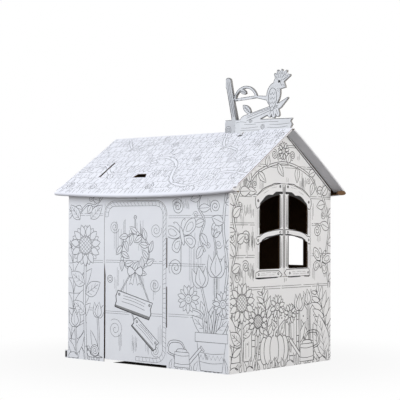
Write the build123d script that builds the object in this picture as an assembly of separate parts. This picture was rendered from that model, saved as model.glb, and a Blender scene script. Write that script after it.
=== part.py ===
from build123d import *
import math
import os

# Cardboard playhouse: two folded wall sheets, one folded roof sheet and a doubled ridge piece.
# Millimetres. The origin is on the floor at the middle of the house, X runs along the ridge,
# the front with the door faces -Y, and Z is up.

# Board
BOARD = 4.0  # thickness of the corrugated board
FOLD_INSIDE = 2.0  # radius on the inside of a fold
FIT = 0.3  # play between two sheets that lie together
KNIFE_CUT = 1.8  # width that a plain knife cut opens to
CREASE_WIDTH = 2.4  # a pressed fold line
CREASE_DEPTH = 0.6

# House
HOUSE_LENGTH = 960.0  # outside, along the ridge
HOUSE_WIDTH = 738.0  # outside, across the gables
RIDGE_HEIGHT = 1035.0  # where the two outer roof faces would meet
ROOF_PITCH = 34.7  # degrees
EAVE_GAP = 18.6  # from the top of the front and back walls up to the roof sheet
PEAK_BLUNT = 5.0  # taken off the tip of each gable

# Joining flaps inside the front-left and back-right corners, and the tongue at the front foot
FLAP_WIDTH = 70.0
FLAP_SLANT = 22.0
TONGUE_REACH = 14.5  # past the gable
TONGUE_HEIGHT = 36.0
TONGUE_RELIEF = 4.0  # slot between the tongue and the flap above it

# Roof sheet
GABLE_OVERHANG = 55.0
EAVE_OVERHANG = 40.0
NOSE_RADIUS = 9.0  # outside of the rounded eave fold
HEM_GAP = 1.0  # left inside the flat fold along each rake
HEM_CLEARANCE = 1.0  # from the hem's edge to the gable
HEM_RELIEF = 12.0  # the hem stops this far from the ridge and from the eave fold

# Cuts in the front slope: along the ridge from the middle, and down the slope from the ridge
SLOPE_SLIT_X = -351.0
SLOPE_SLIT_START = 234.0
SLOPE_SLIT_LENGTH = 124.0
SLOPE_SLIT_WIDTH = 7.0
TUCK_SLOT_X = -98.0
TUCK_SLOT_START = 335.0
TUCK_SLOT_DEPTH = 28.0
TUCK_SLOT_MOUTH = 82.0  # at its lower edge
TUCK_SLOT_BACK = 50.0  # at its upper edge
TUCK_SLOT_ROUND = 4.0

# Door, seen from the front
DOOR_FREE_X = -242.0
DOOR_WIDTH = 377.0
DOOR_HEAD = 37.0  # wall left above the door
DOOR_CORNER = 62.0
DOOR_FOOT_GAP = 12.0
DOOR_SIDE_GAP = 8.0  # the free edge stands open this far at its lower part
DOOR_SIDE_GAP_HEIGHT = 450.0
DOOR_SIDE_GAP_TAPER = 60.0
HINGE_CUT_WIDTH = 5.2
HINGE_CUT_UPPER = (162.0, 290.0)  # down from the door's top
HINGE_CUT_LOWER = (173.0, 348.0)  # up from the floor

# Casement window in the right gable; each arch has a height at its sides and one at its crown
WINDOW_Y = 8.0
WINDOW_BELOW_RIDGE = 242.0  # down to the crown of its head board
PANE_HALF = 174.0  # from the middle of the window to the side of the panes
LOWER_PANE_SIDE = 114.0
LOWER_PANE_CROWN = 146.0
RAIL_SIDE = 32.0
RAIL_CROWN = 26.0
UPPER_PANE_SIDE = 127.0
UPPER_PANE_CROWN = 148.0
STILE_WIDTH = 34.0  # each of the two stiles in the middle
SIDE_BOARD = 23.0  # from the panes to the creases
SILL_BOARD = 35.0
HEAD_BOARD_CROWN = 48.0
HEAD_BOARD_END = 36.0  # its depth at the sides of the window

# Small window in the back wall
BACK_WINDOW_X = 265.5
BACK_WINDOW_WIDTH = 121.0
BACK_WINDOW_HEIGHT = 136.0
BACK_WINDOW_HEAD = 191.0  # wall left above it

# Ridge piece: places are measured from its left end and up from the ridge
PIECE_LEFT = 158.0
PIECE_LENGTH = 375.0
PIECE_SPREAD = 16.0  # half the gap that the two layers open to
SPREAD_AT = 96.0
CLOSED_FROM = 212.0
PIECE_NOSE = 9.0  # half the width of the folded end
PIECE_NOSE_ROUND = 8.0
PIECE_BEND = 70.0
LOG_LEFT_TOP = 51.0
LOG_RIGHT_TOP = 42.0
LOG_BELOW = 40.0
LOG_TEETH = 9.0  # depth of the broken end
POST_FOOT = (58.0, 40.0)
POST_FOOT_RADIUS = 13.0
POST_HEAD = (18.0, 226.0)
POST_HEAD_RADIUS = 17.0
POST_STUB = (10.0, 202.0)  # a broken stub below the head
POST_STUB_RADIUS = 8.0
BRANCH_FOOT = (118.0, 42.0)
BRANCH_FOOT_RADIUS = 26.0
BRANCH_KNEE = (306.0, 100.0)
BRANCH_KNEE_RADIUS = 13.0
BRANCH_TIP = (349.0, 130.0)
BRANCH_TIP_RADIUS = 4.0
BRANCH_LEAF = (62.0, 30.0)  # length and width
BRANCH_LEAF_STALK = (148.0, 72.0)
BRANCH_LEAF_ANGLE = 137.0  # degrees from the ridge's direction
TWIG_WIDTH = 12.0
TWIG_START = (56.0, 140.0)
TWIG_CROWN = (119.0, 193.0)  # the twig loops up over a straight strand
TWIG_JOIN = (178.0, 146.0)
TWIG_END = (246.0, 134.0)
TWIG_END_RADIUS = 11.0
TWIG_LEAF = (40.0, 22.0)
TWIG_LEAF_STALK = (86.0, 181.0)
TWIG_LEAF_ANGLE = -24.0
BIRD_BREAST = (272.0, 150.0)
BIRD_BODY_LENGTH = 106.0
BIRD_BODY_WIDTH = 76.0
BIRD_LEAN = 14.0  # degrees, towards the right
BIRD_HEAD = (301.0, 199.0)
BIRD_HEAD_RADIUS = 29.0
BEAK_TIP = (336.0, 178.0)
BEAK_TIP_RADIUS = 3.0
CREST_REACH = (44.0, 53.0, 57.0, 64.0, 66.0)  # five feathers, from the middle of the head
CREST_ANGLES = (118.0, 95.0, 72.0, 49.0, 26.0)
CREST_TIP_RADIUS = 5.0
TAIL_TIPS = ((250.0, 61.0), (273.0, 57.0), (296.0, 61.0))
TAIL_RADIUS = 11.0
FOOT_TAB_U = 111.0
FOOT_TAB_WIDTH = 12.0
FOOT_TAB_PLAY = 2.5
FOOT_TAB_DOWN = 35.0  # down the slope from the ridge to the slot's middle
FOOT_TAB_DEPTH = 12.0  # below the roof sheet

# Worked out from the above
FOLD_OUTSIDE = FOLD_INSIDE + BOARD
PITCH = math.radians(ROOF_PITCH)
HALF_LENGTH = HOUSE_LENGTH / 2
HALF_WIDTH = HOUSE_WIDTH / 2
ROOF_END = HALF_LENGTH + GABLE_OVERHANG
INNER_END = HALF_LENGTH - BOARD - FIT  # outer face of a flap that lies inside a gable
NOSE_Y = HALF_WIDTH + EAVE_OVERHANG - NOSE_RADIUS  # middle of the eave fold
CASEMENT_CROWN = RIDGE_HEIGHT - WINDOW_BELOW_RIDGE
PANE_CROWN = CASEMENT_CROWN - HEAD_BOARD_CROWN
RAIL_TOP_CROWN = PANE_CROWN - UPPER_PANE_CROWN
RAIL_FOOT_CROWN = RAIL_TOP_CROWN - RAIL_CROWN
PANE_FOOT = RAIL_FOOT_CROWN - LOWER_PANE_CROWN
RAIL_FOOT_SIDE = PANE_FOOT + LOWER_PANE_SIDE
RAIL_TOP_SIDE = RAIL_FOOT_SIDE + RAIL_SIDE
PANE_SIDE_TOP = RAIL_TOP_SIDE + UPPER_PANE_SIDE
CASEMENT_SIDE_TOP = PANE_SIDE_TOP + HEAD_BOARD_END
CASEMENT_FOOT = PANE_FOOT - SILL_BOARD
CASEMENT_HALF = PANE_HALF + SIDE_BOARD
TALL = 2 * RIDGE_HEIGHT  # longer than any cut needs


def roof_top(y):
    """Height of the roof's outer face above the floor."""
    return RIDGE_HEIGHT - abs(y) * math.tan(PITCH)


def roof_under(y):
    """Height of the roof sheet's underside."""
    return roof_top(y) - BOARD / math.cos(PITCH)


WALL_HEIGHT = roof_under(HALF_WIDTH) - EAVE_GAP  # front and back walls
DOOR_TOP = WALL_HEIGHT - DOOR_HEAD
DOOR_HINGE_X = DOOR_FREE_X + DOOR_WIDTH
DOOR_HINGE_TOP = DOOR_TOP - DOOR_CORNER - FOLD_OUTSIDE  # the knife cut ends just below the corner
NOSE_Z = roof_top(NOSE_Y) - NOSE_RADIUS / math.cos(PITCH)
SOFFIT_Z = NOSE_Z - NOSE_RADIUS
EAVE_CORNER_Y = (RIDGE_HEIGHT - SOFFIT_Z) / math.tan(PITCH)
NOSE_DOWN = NOSE_Y * math.cos(PITCH) + (RIDGE_HEIGHT - NOSE_Z) * math.sin(PITCH)

FRONT = Plane.XZ.offset(HALF_WIDTH)  # outer face of the front wall, X across and Z up
BACK = Plane.XZ.offset(-HALF_WIDTH)
RIGHT = Plane.YZ.offset(HALF_LENGTH)  # outer face of the window gable, Y across and Z up
SLOPE = Plane(
    origin=(0, 0, RIDGE_HEIGHT),
    x_dir=(1, 0, 0),
    z_dir=(0, -math.sin(PITCH), math.cos(PITCH)),
)  # outer face of the front slope, X across and up the slope


def bent_strip(points, radii, side):
    """Section of a folded board: its outer face follows the points, its thickness lies to one side."""
    return make_face(offset(FilletPolyline(*points, radius=radii), BOARD, side=side))


def through(plane, outline):
    """A cutter that passes right through a board whose outer face is the plane."""
    return extrude(plane * outline, amount=2 * BOARD, both=True)


def upright(x, low, high, width):
    """A narrow upright cut between two heights."""
    return Pos(x, (low + high) / 2) * Rectangle(width, high - low)


def limb(*ends):
    """A tapered limb drawn round discs, each with a place and a radius."""
    discs = [Pos(*place) * Circle(radius) for place, radius in ends]
    return make_hull([edge for disc in discs for edge in disc.edges()])


def arched_panel(half, foot, side_top, crown):
    """A panel with upright sides and an arched top."""
    sides = Polyline((-half, side_top), (-half, foot), (half, foot), (half, side_top))
    arch = ThreePointArc((half, side_top), (0, crown), (-half, side_top))
    return make_face(sides + arch)


def wall_sheet(flap_foot):
    """A joining flap, a long wall and a gable in one folded sheet, with no openings."""
    path = [
        (-INNER_END, -HALF_WIDTH + FLAP_WIDTH),
        (-INNER_END, -HALF_WIDTH),
        (HALF_LENGTH, -HALF_WIDTH),
        (HALF_LENGTH, HALF_WIDTH - BOARD - FIT),
    ]
    sheet = extrude(bent_strip(path, FOLD_OUTSIDE, Side.LEFT), amount=RIDGE_HEIGHT)

    peak = roof_under(0) - PEAK_BLUNT
    peak_half = PEAK_BLUNT / math.tan(PITCH)
    gable = Polyline(
        (-HALF_WIDTH, 0),
        (HALF_WIDTH, 0),
        (HALF_WIDTH, roof_under(HALF_WIDTH)),
        (peak_half, peak),
        (-peak_half, peak),
        (-HALF_WIDTH, roof_under(HALF_WIDTH)),
        close=True,
    )
    sheet &= extrude(Plane.YZ * make_face(gable), amount=HOUSE_LENGTH, both=True)

    gable_inside = HALF_LENGTH - BOARD - FOLD_INSIDE
    above_wall = Pos(gable_inside, 0, WALL_HEIGHT) * Box(
        TALL, TALL, TALL, align=(Align.MAX, Align.CENTER, Align.MIN)
    )
    sheet -= above_wall

    flap = Polyline(
        (-HALF_WIDTH, flap_foot),
        (-HALF_WIDTH + FOLD_OUTSIDE, flap_foot),
        (-HALF_WIDTH + FLAP_WIDTH, flap_foot + FLAP_SLANT),
        (-HALF_WIDTH + FLAP_WIDTH, WALL_HEIGHT - FLAP_SLANT),
        (-HALF_WIDTH + FOLD_OUTSIDE, WALL_HEIGHT),
        (-HALF_WIDTH, WALL_HEIGHT),
        close=True,
    )
    fold_side = Pos(FOLD_OUTSIDE - INNER_END, 0, 0) * Box(
        TALL, TALL, TALL, align=(Align.MAX, Align.CENTER, Align.CENTER)
    )
    beside_flap = fold_side - extrude(Plane.YZ * make_face(flap), amount=-HOUSE_LENGTH)
    return sheet - beside_flap


def foot_tongue():
    """The front wall's foot runs on straight past its corner fold."""
    inner = FOLD_OUTSIDE - INNER_END
    outer = -HALF_LENGTH - TONGUE_REACH
    return Pos(outer, -HALF_WIDTH, 0) * Box(
        inner - outer, BOARD, TONGUE_HEIGHT, align=(Align.MIN, Align.MIN, Align.MIN)
    )


def door_cuts():
    """Cuts that free the door leaf at its top, its left edge and its foot, and two on its hinge."""
    outline = FilletPolyline(
        (DOOR_FREE_X, 0),
        (DOOR_FREE_X, DOOR_TOP),
        (DOOR_HINGE_X, DOOR_TOP),
        (DOOR_HINGE_X, DOOR_HINGE_TOP),
        radius=DOOR_CORNER,
    )
    gap = Polyline(
        (DOOR_FREE_X, 0),
        (DOOR_FREE_X + DOOR_SIDE_GAP, 0),
        (DOOR_FREE_X + DOOR_SIDE_GAP, DOOR_SIDE_GAP_HEIGHT - DOOR_SIDE_GAP_TAPER),
        (DOOR_FREE_X, DOOR_SIDE_GAP_HEIGHT),
        close=True,
    )
    foot = Pos(DOOR_FREE_X, 0) * Rectangle(
        DOOR_WIDTH, 2 * DOOR_FOOT_GAP, align=(Align.MIN, Align.CENTER)
    )
    cuts = trace(outline, KNIFE_CUT) + make_face(gap) + foot
    down_to_start, down_to_end = HINGE_CUT_UPPER
    upper_cut = DOOR_TOP - down_to_end, DOOR_TOP - down_to_start
    for low, high in (upper_cut, HINGE_CUT_LOWER):
        cuts += upright(DOOR_HINGE_X, low, high, HINGE_CUT_WIDTH)
    return cuts


def window_panes():
    """Four see-through panes: an arched window less its stiles and its rail."""
    below_rail = arched_panel(PANE_HALF, PANE_FOOT, RAIL_FOOT_SIDE, RAIL_FOOT_CROWN)
    to_rail_top = arched_panel(PANE_HALF, PANE_FOOT, RAIL_TOP_SIDE, RAIL_TOP_CROWN)
    panes = arched_panel(PANE_HALF, PANE_FOOT, PANE_SIDE_TOP, PANE_CROWN)
    panes = panes - to_rail_top + below_rail
    return panes - upright(0, PANE_FOOT, PANE_CROWN, 2 * STILE_WIDTH)


def casement_cuts():
    """Cuts that free the two casements at the head, down the middle and along the foot."""
    head = ThreePointArc(
        (-CASEMENT_HALF, CASEMENT_SIDE_TOP), (0, CASEMENT_CROWN), (CASEMENT_HALF, CASEMENT_SIDE_TOP)
    )
    foot = Line((-CASEMENT_HALF, CASEMENT_FOOT), (CASEMENT_HALF, CASEMENT_FOOT))
    middle = upright(0, CASEMENT_FOOT, CASEMENT_CROWN, KNIFE_CUT)
    return trace(head, KNIFE_CUT) + trace(foot, KNIFE_CUT) + middle


def crease(plane, x, low, high):
    """A shallow pressed groove on a board's outer face, along a fold that is left flat."""
    return extrude(plane * upright(x, low, high, CREASE_WIDTH), amount=CREASE_DEPTH, both=True)


def front_wall_sheet():
    """Front wall with its door, and the gable with the casement window."""
    sheet = wall_sheet(TONGUE_HEIGHT + TONGUE_RELIEF) + foot_tongue()
    sheet -= through(FRONT, door_cuts())
    sheet -= crease(FRONT, DOOR_HINGE_X, DOOR_FOOT_GAP, DOOR_HINGE_TOP)
    sheet -= through(RIGHT, Pos(WINDOW_Y, 0) * (window_panes() + casement_cuts()))
    for side in (-CASEMENT_HALF, CASEMENT_HALF):
        sheet -= crease(RIGHT, WINDOW_Y + side, CASEMENT_FOOT, CASEMENT_SIDE_TOP)
    return sheet


def back_wall_sheet():
    """Back wall with its small window, and the plain gable on the left."""
    sheet = Rot(0, 0, 180) * wall_sheet(0)
    opening = Pos(BACK_WINDOW_X, WALL_HEIGHT - BACK_WINDOW_HEAD) * Rectangle(
        BACK_WINDOW_WIDTH, BACK_WINDOW_HEIGHT, align=(Align.CENTER, Align.MAX)
    )
    return sheet - through(BACK, opening)


def rake_hem():
    """Board folded flat under itself along the front slope's right-hand rake."""
    outside = BOARD + HEM_GAP / 2
    flap_length = GABLE_OVERHANG - outside - HEM_CLEARANCE
    ring = Pos(0, -outside) * (Circle(outside) - Circle(HEM_GAP / 2))
    right_of_fold = Pos(0, -outside) * Rectangle(
        outside, 2 * outside, align=(Align.MIN, Align.CENTER)
    )
    flap = Pos(0, -2 * outside) * Rectangle(flap_length, BOARD, align=(Align.MAX, Align.MIN))
    start = SLOPE.from_local_coords(Vector(ROOF_END - outside, -HEM_RELIEF, 0))
    down_slope = Plane(origin=start, x_dir=(1, 0, 0), z_dir=-SLOPE.y_dir)
    return extrude(down_slope * ((ring & right_of_fold) + flap), amount=NOSE_DOWN - 2 * HEM_RELIEF)


def slope_cuts():
    """The slit and the tuck slot in the front slope, measured down from the ridge."""
    slit = Pos(SLOPE_SLIT_X, -SLOPE_SLIT_START) * Rectangle(
        SLOPE_SLIT_WIDTH, SLOPE_SLIT_LENGTH, align=(Align.CENTER, Align.MAX)
    )
    tuck = FilletPolyline(
        (-TUCK_SLOT_BACK / 2, 0),
        (TUCK_SLOT_BACK / 2, 0),
        (TUCK_SLOT_MOUTH / 2, -TUCK_SLOT_DEPTH),
        (-TUCK_SLOT_MOUTH / 2, -TUCK_SLOT_DEPTH),
        radius=TUCK_SLOT_ROUND,
        close=True,
    )
    return slit + Pos(TUCK_SLOT_X, -TUCK_SLOT_START) * make_face(tuck)


def foot_tab_slot():
    """Slot in the front slope for the ridge piece's foot tab."""
    return Pos(PIECE_LEFT + FOOT_TAB_U, -FOOT_TAB_DOWN) * Rectangle(
        FOOT_TAB_WIDTH + 2 * FOOT_TAB_PLAY, BOARD + 2 * FOOT_TAB_PLAY
    )


def roof_sheet():
    """One sheet folded over the ridge, round both eaves to the walls, and flat under both rakes."""
    edge = HALF_WIDTH + FIT
    path = [
        (-edge, SOFFIT_Z),
        (-EAVE_CORNER_Y, SOFFIT_Z),
        (0, RIDGE_HEIGHT),
        (EAVE_CORNER_Y, SOFFIT_Z),
        (edge, SOFFIT_Z),
    ]
    section = bent_strip(path, [NOSE_RADIUS, FOLD_OUTSIDE, NOSE_RADIUS], Side.RIGHT)
    flat_end = ROOF_END - BOARD - HEM_GAP / 2
    sheet = extrude(Plane.YZ * section, amount=flat_end, both=True)

    hem = rake_hem()
    hem_pair = hem + mirror(hem, about=Plane.YZ)
    sheet += hem_pair + mirror(hem_pair, about=Plane.XZ)

    tab_slot = through(SLOPE, foot_tab_slot())
    sheet -= through(SLOPE, slope_cuts())
    return sheet - tab_slot - mirror(tab_slot, about=Plane.XZ)


def leaf(size, stalk, angle):
    """A pointed leaf from its stalk, in a direction given in degrees."""
    length, width = size
    upper = ThreePointArc((0, 0), (length / 2, width / 2), (length, 0))
    lower = ThreePointArc((length, 0), (length / 2, -width / 2), (0, 0))
    return Pos(*stalk) * Rot(0, 0, angle) * make_face(upper + lower)


def bird_outline():
    """A perched bird with a fanned crest and a fanned tail, facing right."""
    head_x, head_y = BIRD_HEAD
    head = BIRD_HEAD, BIRD_HEAD_RADIUS
    bird = Pos(*BIRD_BREAST) * Rot(0, 0, -BIRD_LEAN) * Ellipse(
        BIRD_BODY_WIDTH / 2, BIRD_BODY_LENGTH / 2
    )
    bird += limb(head, (BEAK_TIP, BEAK_TIP_RADIUS))
    for reach, angle in zip(CREST_REACH, CREST_ANGLES):
        turn = math.radians(angle)
        tip = (head_x + reach * math.cos(turn), head_y + reach * math.sin(turn))
        bird += limb((BIRD_HEAD, BIRD_HEAD_RADIUS / 2), (tip, CREST_TIP_RADIUS))
    for tip in TAIL_TIPS:
        bird += limb((BIRD_BREAST, TAIL_RADIUS), (tip, TAIL_RADIUS))
    return bird


def piece_outline():
    """The ridge piece from the front: log, post, branch, leafy twig and bird."""
    log = Polyline(
        (0, -LOG_BELOW),
        (0, LOG_LEFT_TOP),
        (PIECE_LENGTH, LOG_RIGHT_TOP),
        (PIECE_LENGTH - LOG_TEETH, LOG_RIGHT_TOP * 2 / 3),
        (PIECE_LENGTH, LOG_RIGHT_TOP / 3),
        (PIECE_LENGTH - LOG_TEETH, 0),
        (PIECE_LENGTH - LOG_TEETH, -LOG_BELOW),
        close=True,
    )
    post_head = POST_HEAD, POST_HEAD_RADIUS
    knee = BRANCH_KNEE, BRANCH_KNEE_RADIUS
    outline = make_face(log) + limb((POST_FOOT, POST_FOOT_RADIUS), post_head)
    outline += limb(post_head, (POST_STUB, POST_STUB_RADIUS))
    outline += limb((BRANCH_FOOT, BRANCH_FOOT_RADIUS), knee) + limb(knee, (BRANCH_TIP, BRANCH_TIP_RADIUS))
    outline += leaf(BRANCH_LEAF, BRANCH_LEAF_STALK, BRANCH_LEAF_ANGLE)
    outline += trace(ThreePointArc(TWIG_START, TWIG_CROWN, TWIG_JOIN), TWIG_WIDTH)
    outline += trace(Line(TWIG_START, TWIG_JOIN), TWIG_WIDTH)
    outline += limb((TWIG_JOIN, TWIG_WIDTH / 2), (TWIG_END, TWIG_END_RADIUS))
    outline += leaf(TWIG_LEAF, TWIG_LEAF_STALK, TWIG_LEAF_ANGLE)
    return outline + bird_outline()


def foot_tab():
    """A tab on the front layer that lies on the slope and turns down into its slot."""
    outer = FOOT_TAB_DOWN + BOARD / 2
    path = [
        (PIECE_SPREAD, BOARD),
        (outer, BOARD),
        (outer, -BOARD - FOOT_TAB_DEPTH),
    ]
    section = bent_strip(path, FOLD_OUTSIDE, Side.RIGHT)
    middle = SLOPE.from_local_coords(Vector(PIECE_LEFT + FOOT_TAB_U, 0, 0))
    across = Plane(origin=middle, x_dir=-SLOPE.y_dir, z_dir=(-1, 0, 0))
    return extrude(across * section, amount=FOOT_TAB_WIDTH / 2, both=True)


def ridge_piece():
    """A doubled sheet folded at its left end, opened astride the ridge and closed to the right."""
    closed = BOARD + FIT / 2
    path = [
        (PIECE_LENGTH, -closed),
        (CLOSED_FROM, -closed),
        (SPREAD_AT, -PIECE_SPREAD - BOARD),
        (0, -PIECE_NOSE),
        (0, PIECE_NOSE),
        (SPREAD_AT, PIECE_SPREAD + BOARD),
        (CLOSED_FROM, closed),
        (PIECE_LENGTH, closed),
    ]
    right_bends = [PIECE_BEND, PIECE_BEND]
    bends = right_bends + [PIECE_NOSE_ROUND, PIECE_NOSE_ROUND] + right_bends
    plan = bent_strip(path, bends, Side.RIGHT)
    layers = extrude(Pos(PIECE_LEFT, 0, 0) * plan, amount=TALL)
    front_view = Plane.XZ * (Pos(PIECE_LEFT, RIDGE_HEIGHT) * piece_outline())
    piece = layers & extrude(front_view, amount=HALF_WIDTH, both=True)

    roof_body = Polyline(
        (-HALF_WIDTH, 0),
        (-HALF_WIDTH, roof_top(HALF_WIDTH)),
        (0, RIDGE_HEIGHT),
        (HALF_WIDTH, roof_top(HALF_WIDTH)),
        (HALF_WIDTH, 0),
        close=True,
    )
    piece -= extrude(Plane.YZ * make_face(roof_body), amount=ROOF_END, both=True)
    tab = foot_tab()
    return piece + tab + mirror(tab, about=Plane.XZ)


os.makedirs("parts", exist_ok=True)
export_step(front_wall_sheet(), "parts/front_wall_sheet.step")
export_step(back_wall_sheet(), "parts/back_wall_sheet.step")
export_step(roof_sheet(), "parts/roof_sheet.step")
export_step(ridge_piece(), "parts/ridge_piece.step")
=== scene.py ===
# %% [markdown]
# # A card playhouse, ready to be coloured in
# The real object is four sheets of corrugated board: two folded wall sheets, one folded roof sheet
# and a doubled cut-out that sits astride the ridge. The outside is a white coated paper printed with
# thin black lines, and the inside is brown kraft paper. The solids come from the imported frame; this
# lesson dresses them in paper, prints them, and puts them under studio light.

# %% Load the frame
import bpy
import bmesh
import math
import random
import numpy as np
from mathutils import Matrix, Vector
from mathutils.bvhtree import BVHTree


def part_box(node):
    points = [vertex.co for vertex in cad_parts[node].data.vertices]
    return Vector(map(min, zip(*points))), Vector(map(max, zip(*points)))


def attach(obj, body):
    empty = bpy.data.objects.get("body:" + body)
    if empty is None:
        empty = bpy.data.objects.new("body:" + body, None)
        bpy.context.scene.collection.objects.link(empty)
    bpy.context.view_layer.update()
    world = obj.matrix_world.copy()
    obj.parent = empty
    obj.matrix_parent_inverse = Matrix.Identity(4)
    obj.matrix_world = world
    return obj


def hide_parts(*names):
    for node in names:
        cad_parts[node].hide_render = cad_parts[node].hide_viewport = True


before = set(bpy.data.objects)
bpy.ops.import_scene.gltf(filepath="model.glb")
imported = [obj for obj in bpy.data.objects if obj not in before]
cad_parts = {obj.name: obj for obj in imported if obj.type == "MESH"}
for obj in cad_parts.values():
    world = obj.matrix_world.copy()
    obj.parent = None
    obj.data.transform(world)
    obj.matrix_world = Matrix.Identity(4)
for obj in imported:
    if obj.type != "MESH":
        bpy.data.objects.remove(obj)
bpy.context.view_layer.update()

# %% [markdown]
# Every size below is in millimetres, as on a drawing, and Blender works in metres. One short name
# turns one into the other. Colours are picked as sRGB hex values, as a paint program shows them,
# and shaders want linear light, so a second helper converts them.

# %% Units and colours
MM = 0.001


def colour(code):
    """An sRGB hex colour as linear red, green, blue and alpha."""
    parts = [int(code[i:i + 2], 16) / 255 for i in (1, 3, 5)]
    return [p / 12.92 if p <= 0.04045 else ((p + 0.055) / 1.055) ** 2.4 for p in parts] + [1.0]


print("half grey in linear light:", round(colour("#808080")[0], 3))

# %% [markdown]
# Materials are trees of nodes. This helper adds one node and sets its fields, the colour stops of a
# ramp, and its sockets. A socket that is given as another node, or as one of its outputs, is plugged in,
# so a tree reads from top to bottom.

# %% One helper for shader nodes


def add_node(tree, kind, settings=None, stops=(), **sockets):
    """Add a node; sockets, by name or as i and a number, take a value, a node or a node's output."""
    node = tree.nodes.new("ShaderNode" + kind)
    for field, value in (settings or {}).items():
        setattr(node, field, value)
    for k, (place, code) in enumerate(stops):
        elements = node.color_ramp.elements
        element = elements[k] if k < len(elements) else elements.new(place)
        element.position = place
        element.color = colour(code)
    for name, value in sockets.items():
        by_name = [s for s in node.inputs if s.name.replace(" ", "_") == name and s.enabled]
        socket = by_name[0] if by_name else node.inputs[int(name.lstrip("i"))]
        if isinstance(value, bpy.types.Node):
            value = value.outputs[0]
        if isinstance(value, bpy.types.NodeSocket):
            tree.links.new(value, socket)
        else:
            socket.default_value = value
    return node


def new_material(name):
    """A node material, and its empty tree."""
    material = bpy.data.materials.new(name)
    material.use_nodes = True
    material.node_tree.nodes.clear()
    return material, material.node_tree


print("shader helpers ready")

# %% [markdown]
# The outside of the board is a white clay-coated liner: a matte paper with a slight silk to it. Two
# things give it away as corrugated board. The flutes inside print through as very shallow stripes,
# about 8 mm apart, and the paper is never one even white: it is cloudy over a hand's width and finely
# grained close up. Both are drawn on the sheet's own UV map, in metres, so they follow every fold.

# %% White coated liner
FLUTE, CLOUD, PAPER_GRAIN = 7.9 * MM, 150 * MM, 3 * MM


def white_liner(name, bright, dim):
    """Matte white clay-coated paper over corrugated board."""
    material, tree = new_material(name)
    sheet = add_node(tree, "UVMap", {"uv_map": "sheet"})
    clouds = add_node(tree, "TexNoise", Vector=sheet, Scale=1 / CLOUD, Detail=4.0)
    grain = add_node(tree, "TexNoise", Vector=sheet, Scale=1 / PAPER_GRAIN, Detail=3.0)
    tone = add_node(tree, "Math", {"operation": "MULTIPLY_ADD"}, i0=grain, i1=0.35, i2=clouds)
    paper = add_node(tree, "ValToRGB", stops=[(0.45, dim), (0.9, bright)], i0=tone)
    silk = add_node(tree, "MapRange", Value=clouds, To_Min=0.5, To_Max=0.66)
    flutes = add_node(tree, "TexWave", {"bands_direction": "X", "wave_profile": "SIN"},
                      Vector=sheet, Scale=2 * math.pi / (20 * FLUTE), Distortion=0.0)
    washboard = add_node(tree, "Bump", Height=flutes.outputs["Fac"], Strength=0.06, Distance=0.3 * MM)
    fibres = add_node(tree, "Bump", Height=grain, Strength=0.12, Distance=0.2 * MM, Normal=washboard)
    shader = add_node(tree, "BsdfPrincipled", Base_Color=paper, Roughness=silk, IOR=1.48, Normal=fibres)
    add_node(tree, "OutputMaterial", Surface=shader)
    return material


WALL_WHITE = white_liner("white coated liner, walls", "#EFF0F2", "#E9EAED")
ROOF_WHITE = white_liner("white coated liner, roof", "#EDEEF3", "#E7E8EE")
RIDGE_WHITE = white_liner("white coated liner, ridge piece", "#DFE0E2", "#D6D8DA")
# The ridge piece's left end and post turn away from the light: their shade is painted as this darker grey
# paper.
RIDGE_PAINTED_SHADE = white_liner("white coated liner, painted shade", "#CBCCCE", "#C0C2C4")
print("white liners:", [liner.name for liner in (WALL_WHITE, ROOF_WHITE, RIDGE_WHITE, RIDGE_PAINTED_SHADE)])

# %% [markdown]
# The inside is unbleached kraft liner. Its fibres lie mostly along the flutes, so the noise is
# stretched that way, with a few darker flecks.

# %% Brown kraft liner
FIBRE, FIBRE_STRETCH = 2.5 * MM, (1.0, 0.12, 1.0)
KRAFT, tree = new_material("brown kraft liner")
sheet = add_node(tree, "UVMap", {"uv_map": "sheet"})
along = add_node(tree, "Mapping", Vector=sheet, Scale=FIBRE_STRETCH)
fibres = add_node(tree, "TexNoise", Vector=along, Scale=1 / FIBRE, Detail=5.0, Roughness=0.6)
brown = add_node(tree, "ValToRGB", stops=[(0.3, "#4F3823"), (0.55, "#6E5236"), (0.75, "#7E6142")], i0=fibres)
bump = add_node(tree, "Bump", Height=fibres, Strength=0.2, Distance=0.2 * MM)
shader = add_node(tree, "BsdfPrincipled", Base_Color=brown, Roughness=0.88, IOR=1.47, Normal=bump)
add_node(tree, "OutputMaterial", Surface=shader)
print("made", KRAFT.name)

# %% [markdown]
# A knife leaves the cut edge of the board open: two liners with a wavy sheet of paper between them
# and hollows on both sides of the wave, whose shade is painted in dark colours. The UV map gives the
# distance along the edge and the place across the thickness from 0 to 1, so one sine drawn in nodes is the
# flute. Where the knife ran along a flute, the distance stays 0 and the wave becomes a straight line, as it
# does on real board. The ridge piece is cut from board that is white all through, so its edge is the same
# in pale greys, with paler painted shade in its hollows.

# %% Corrugated cut edge
FUZZ = 4 * MM


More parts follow.
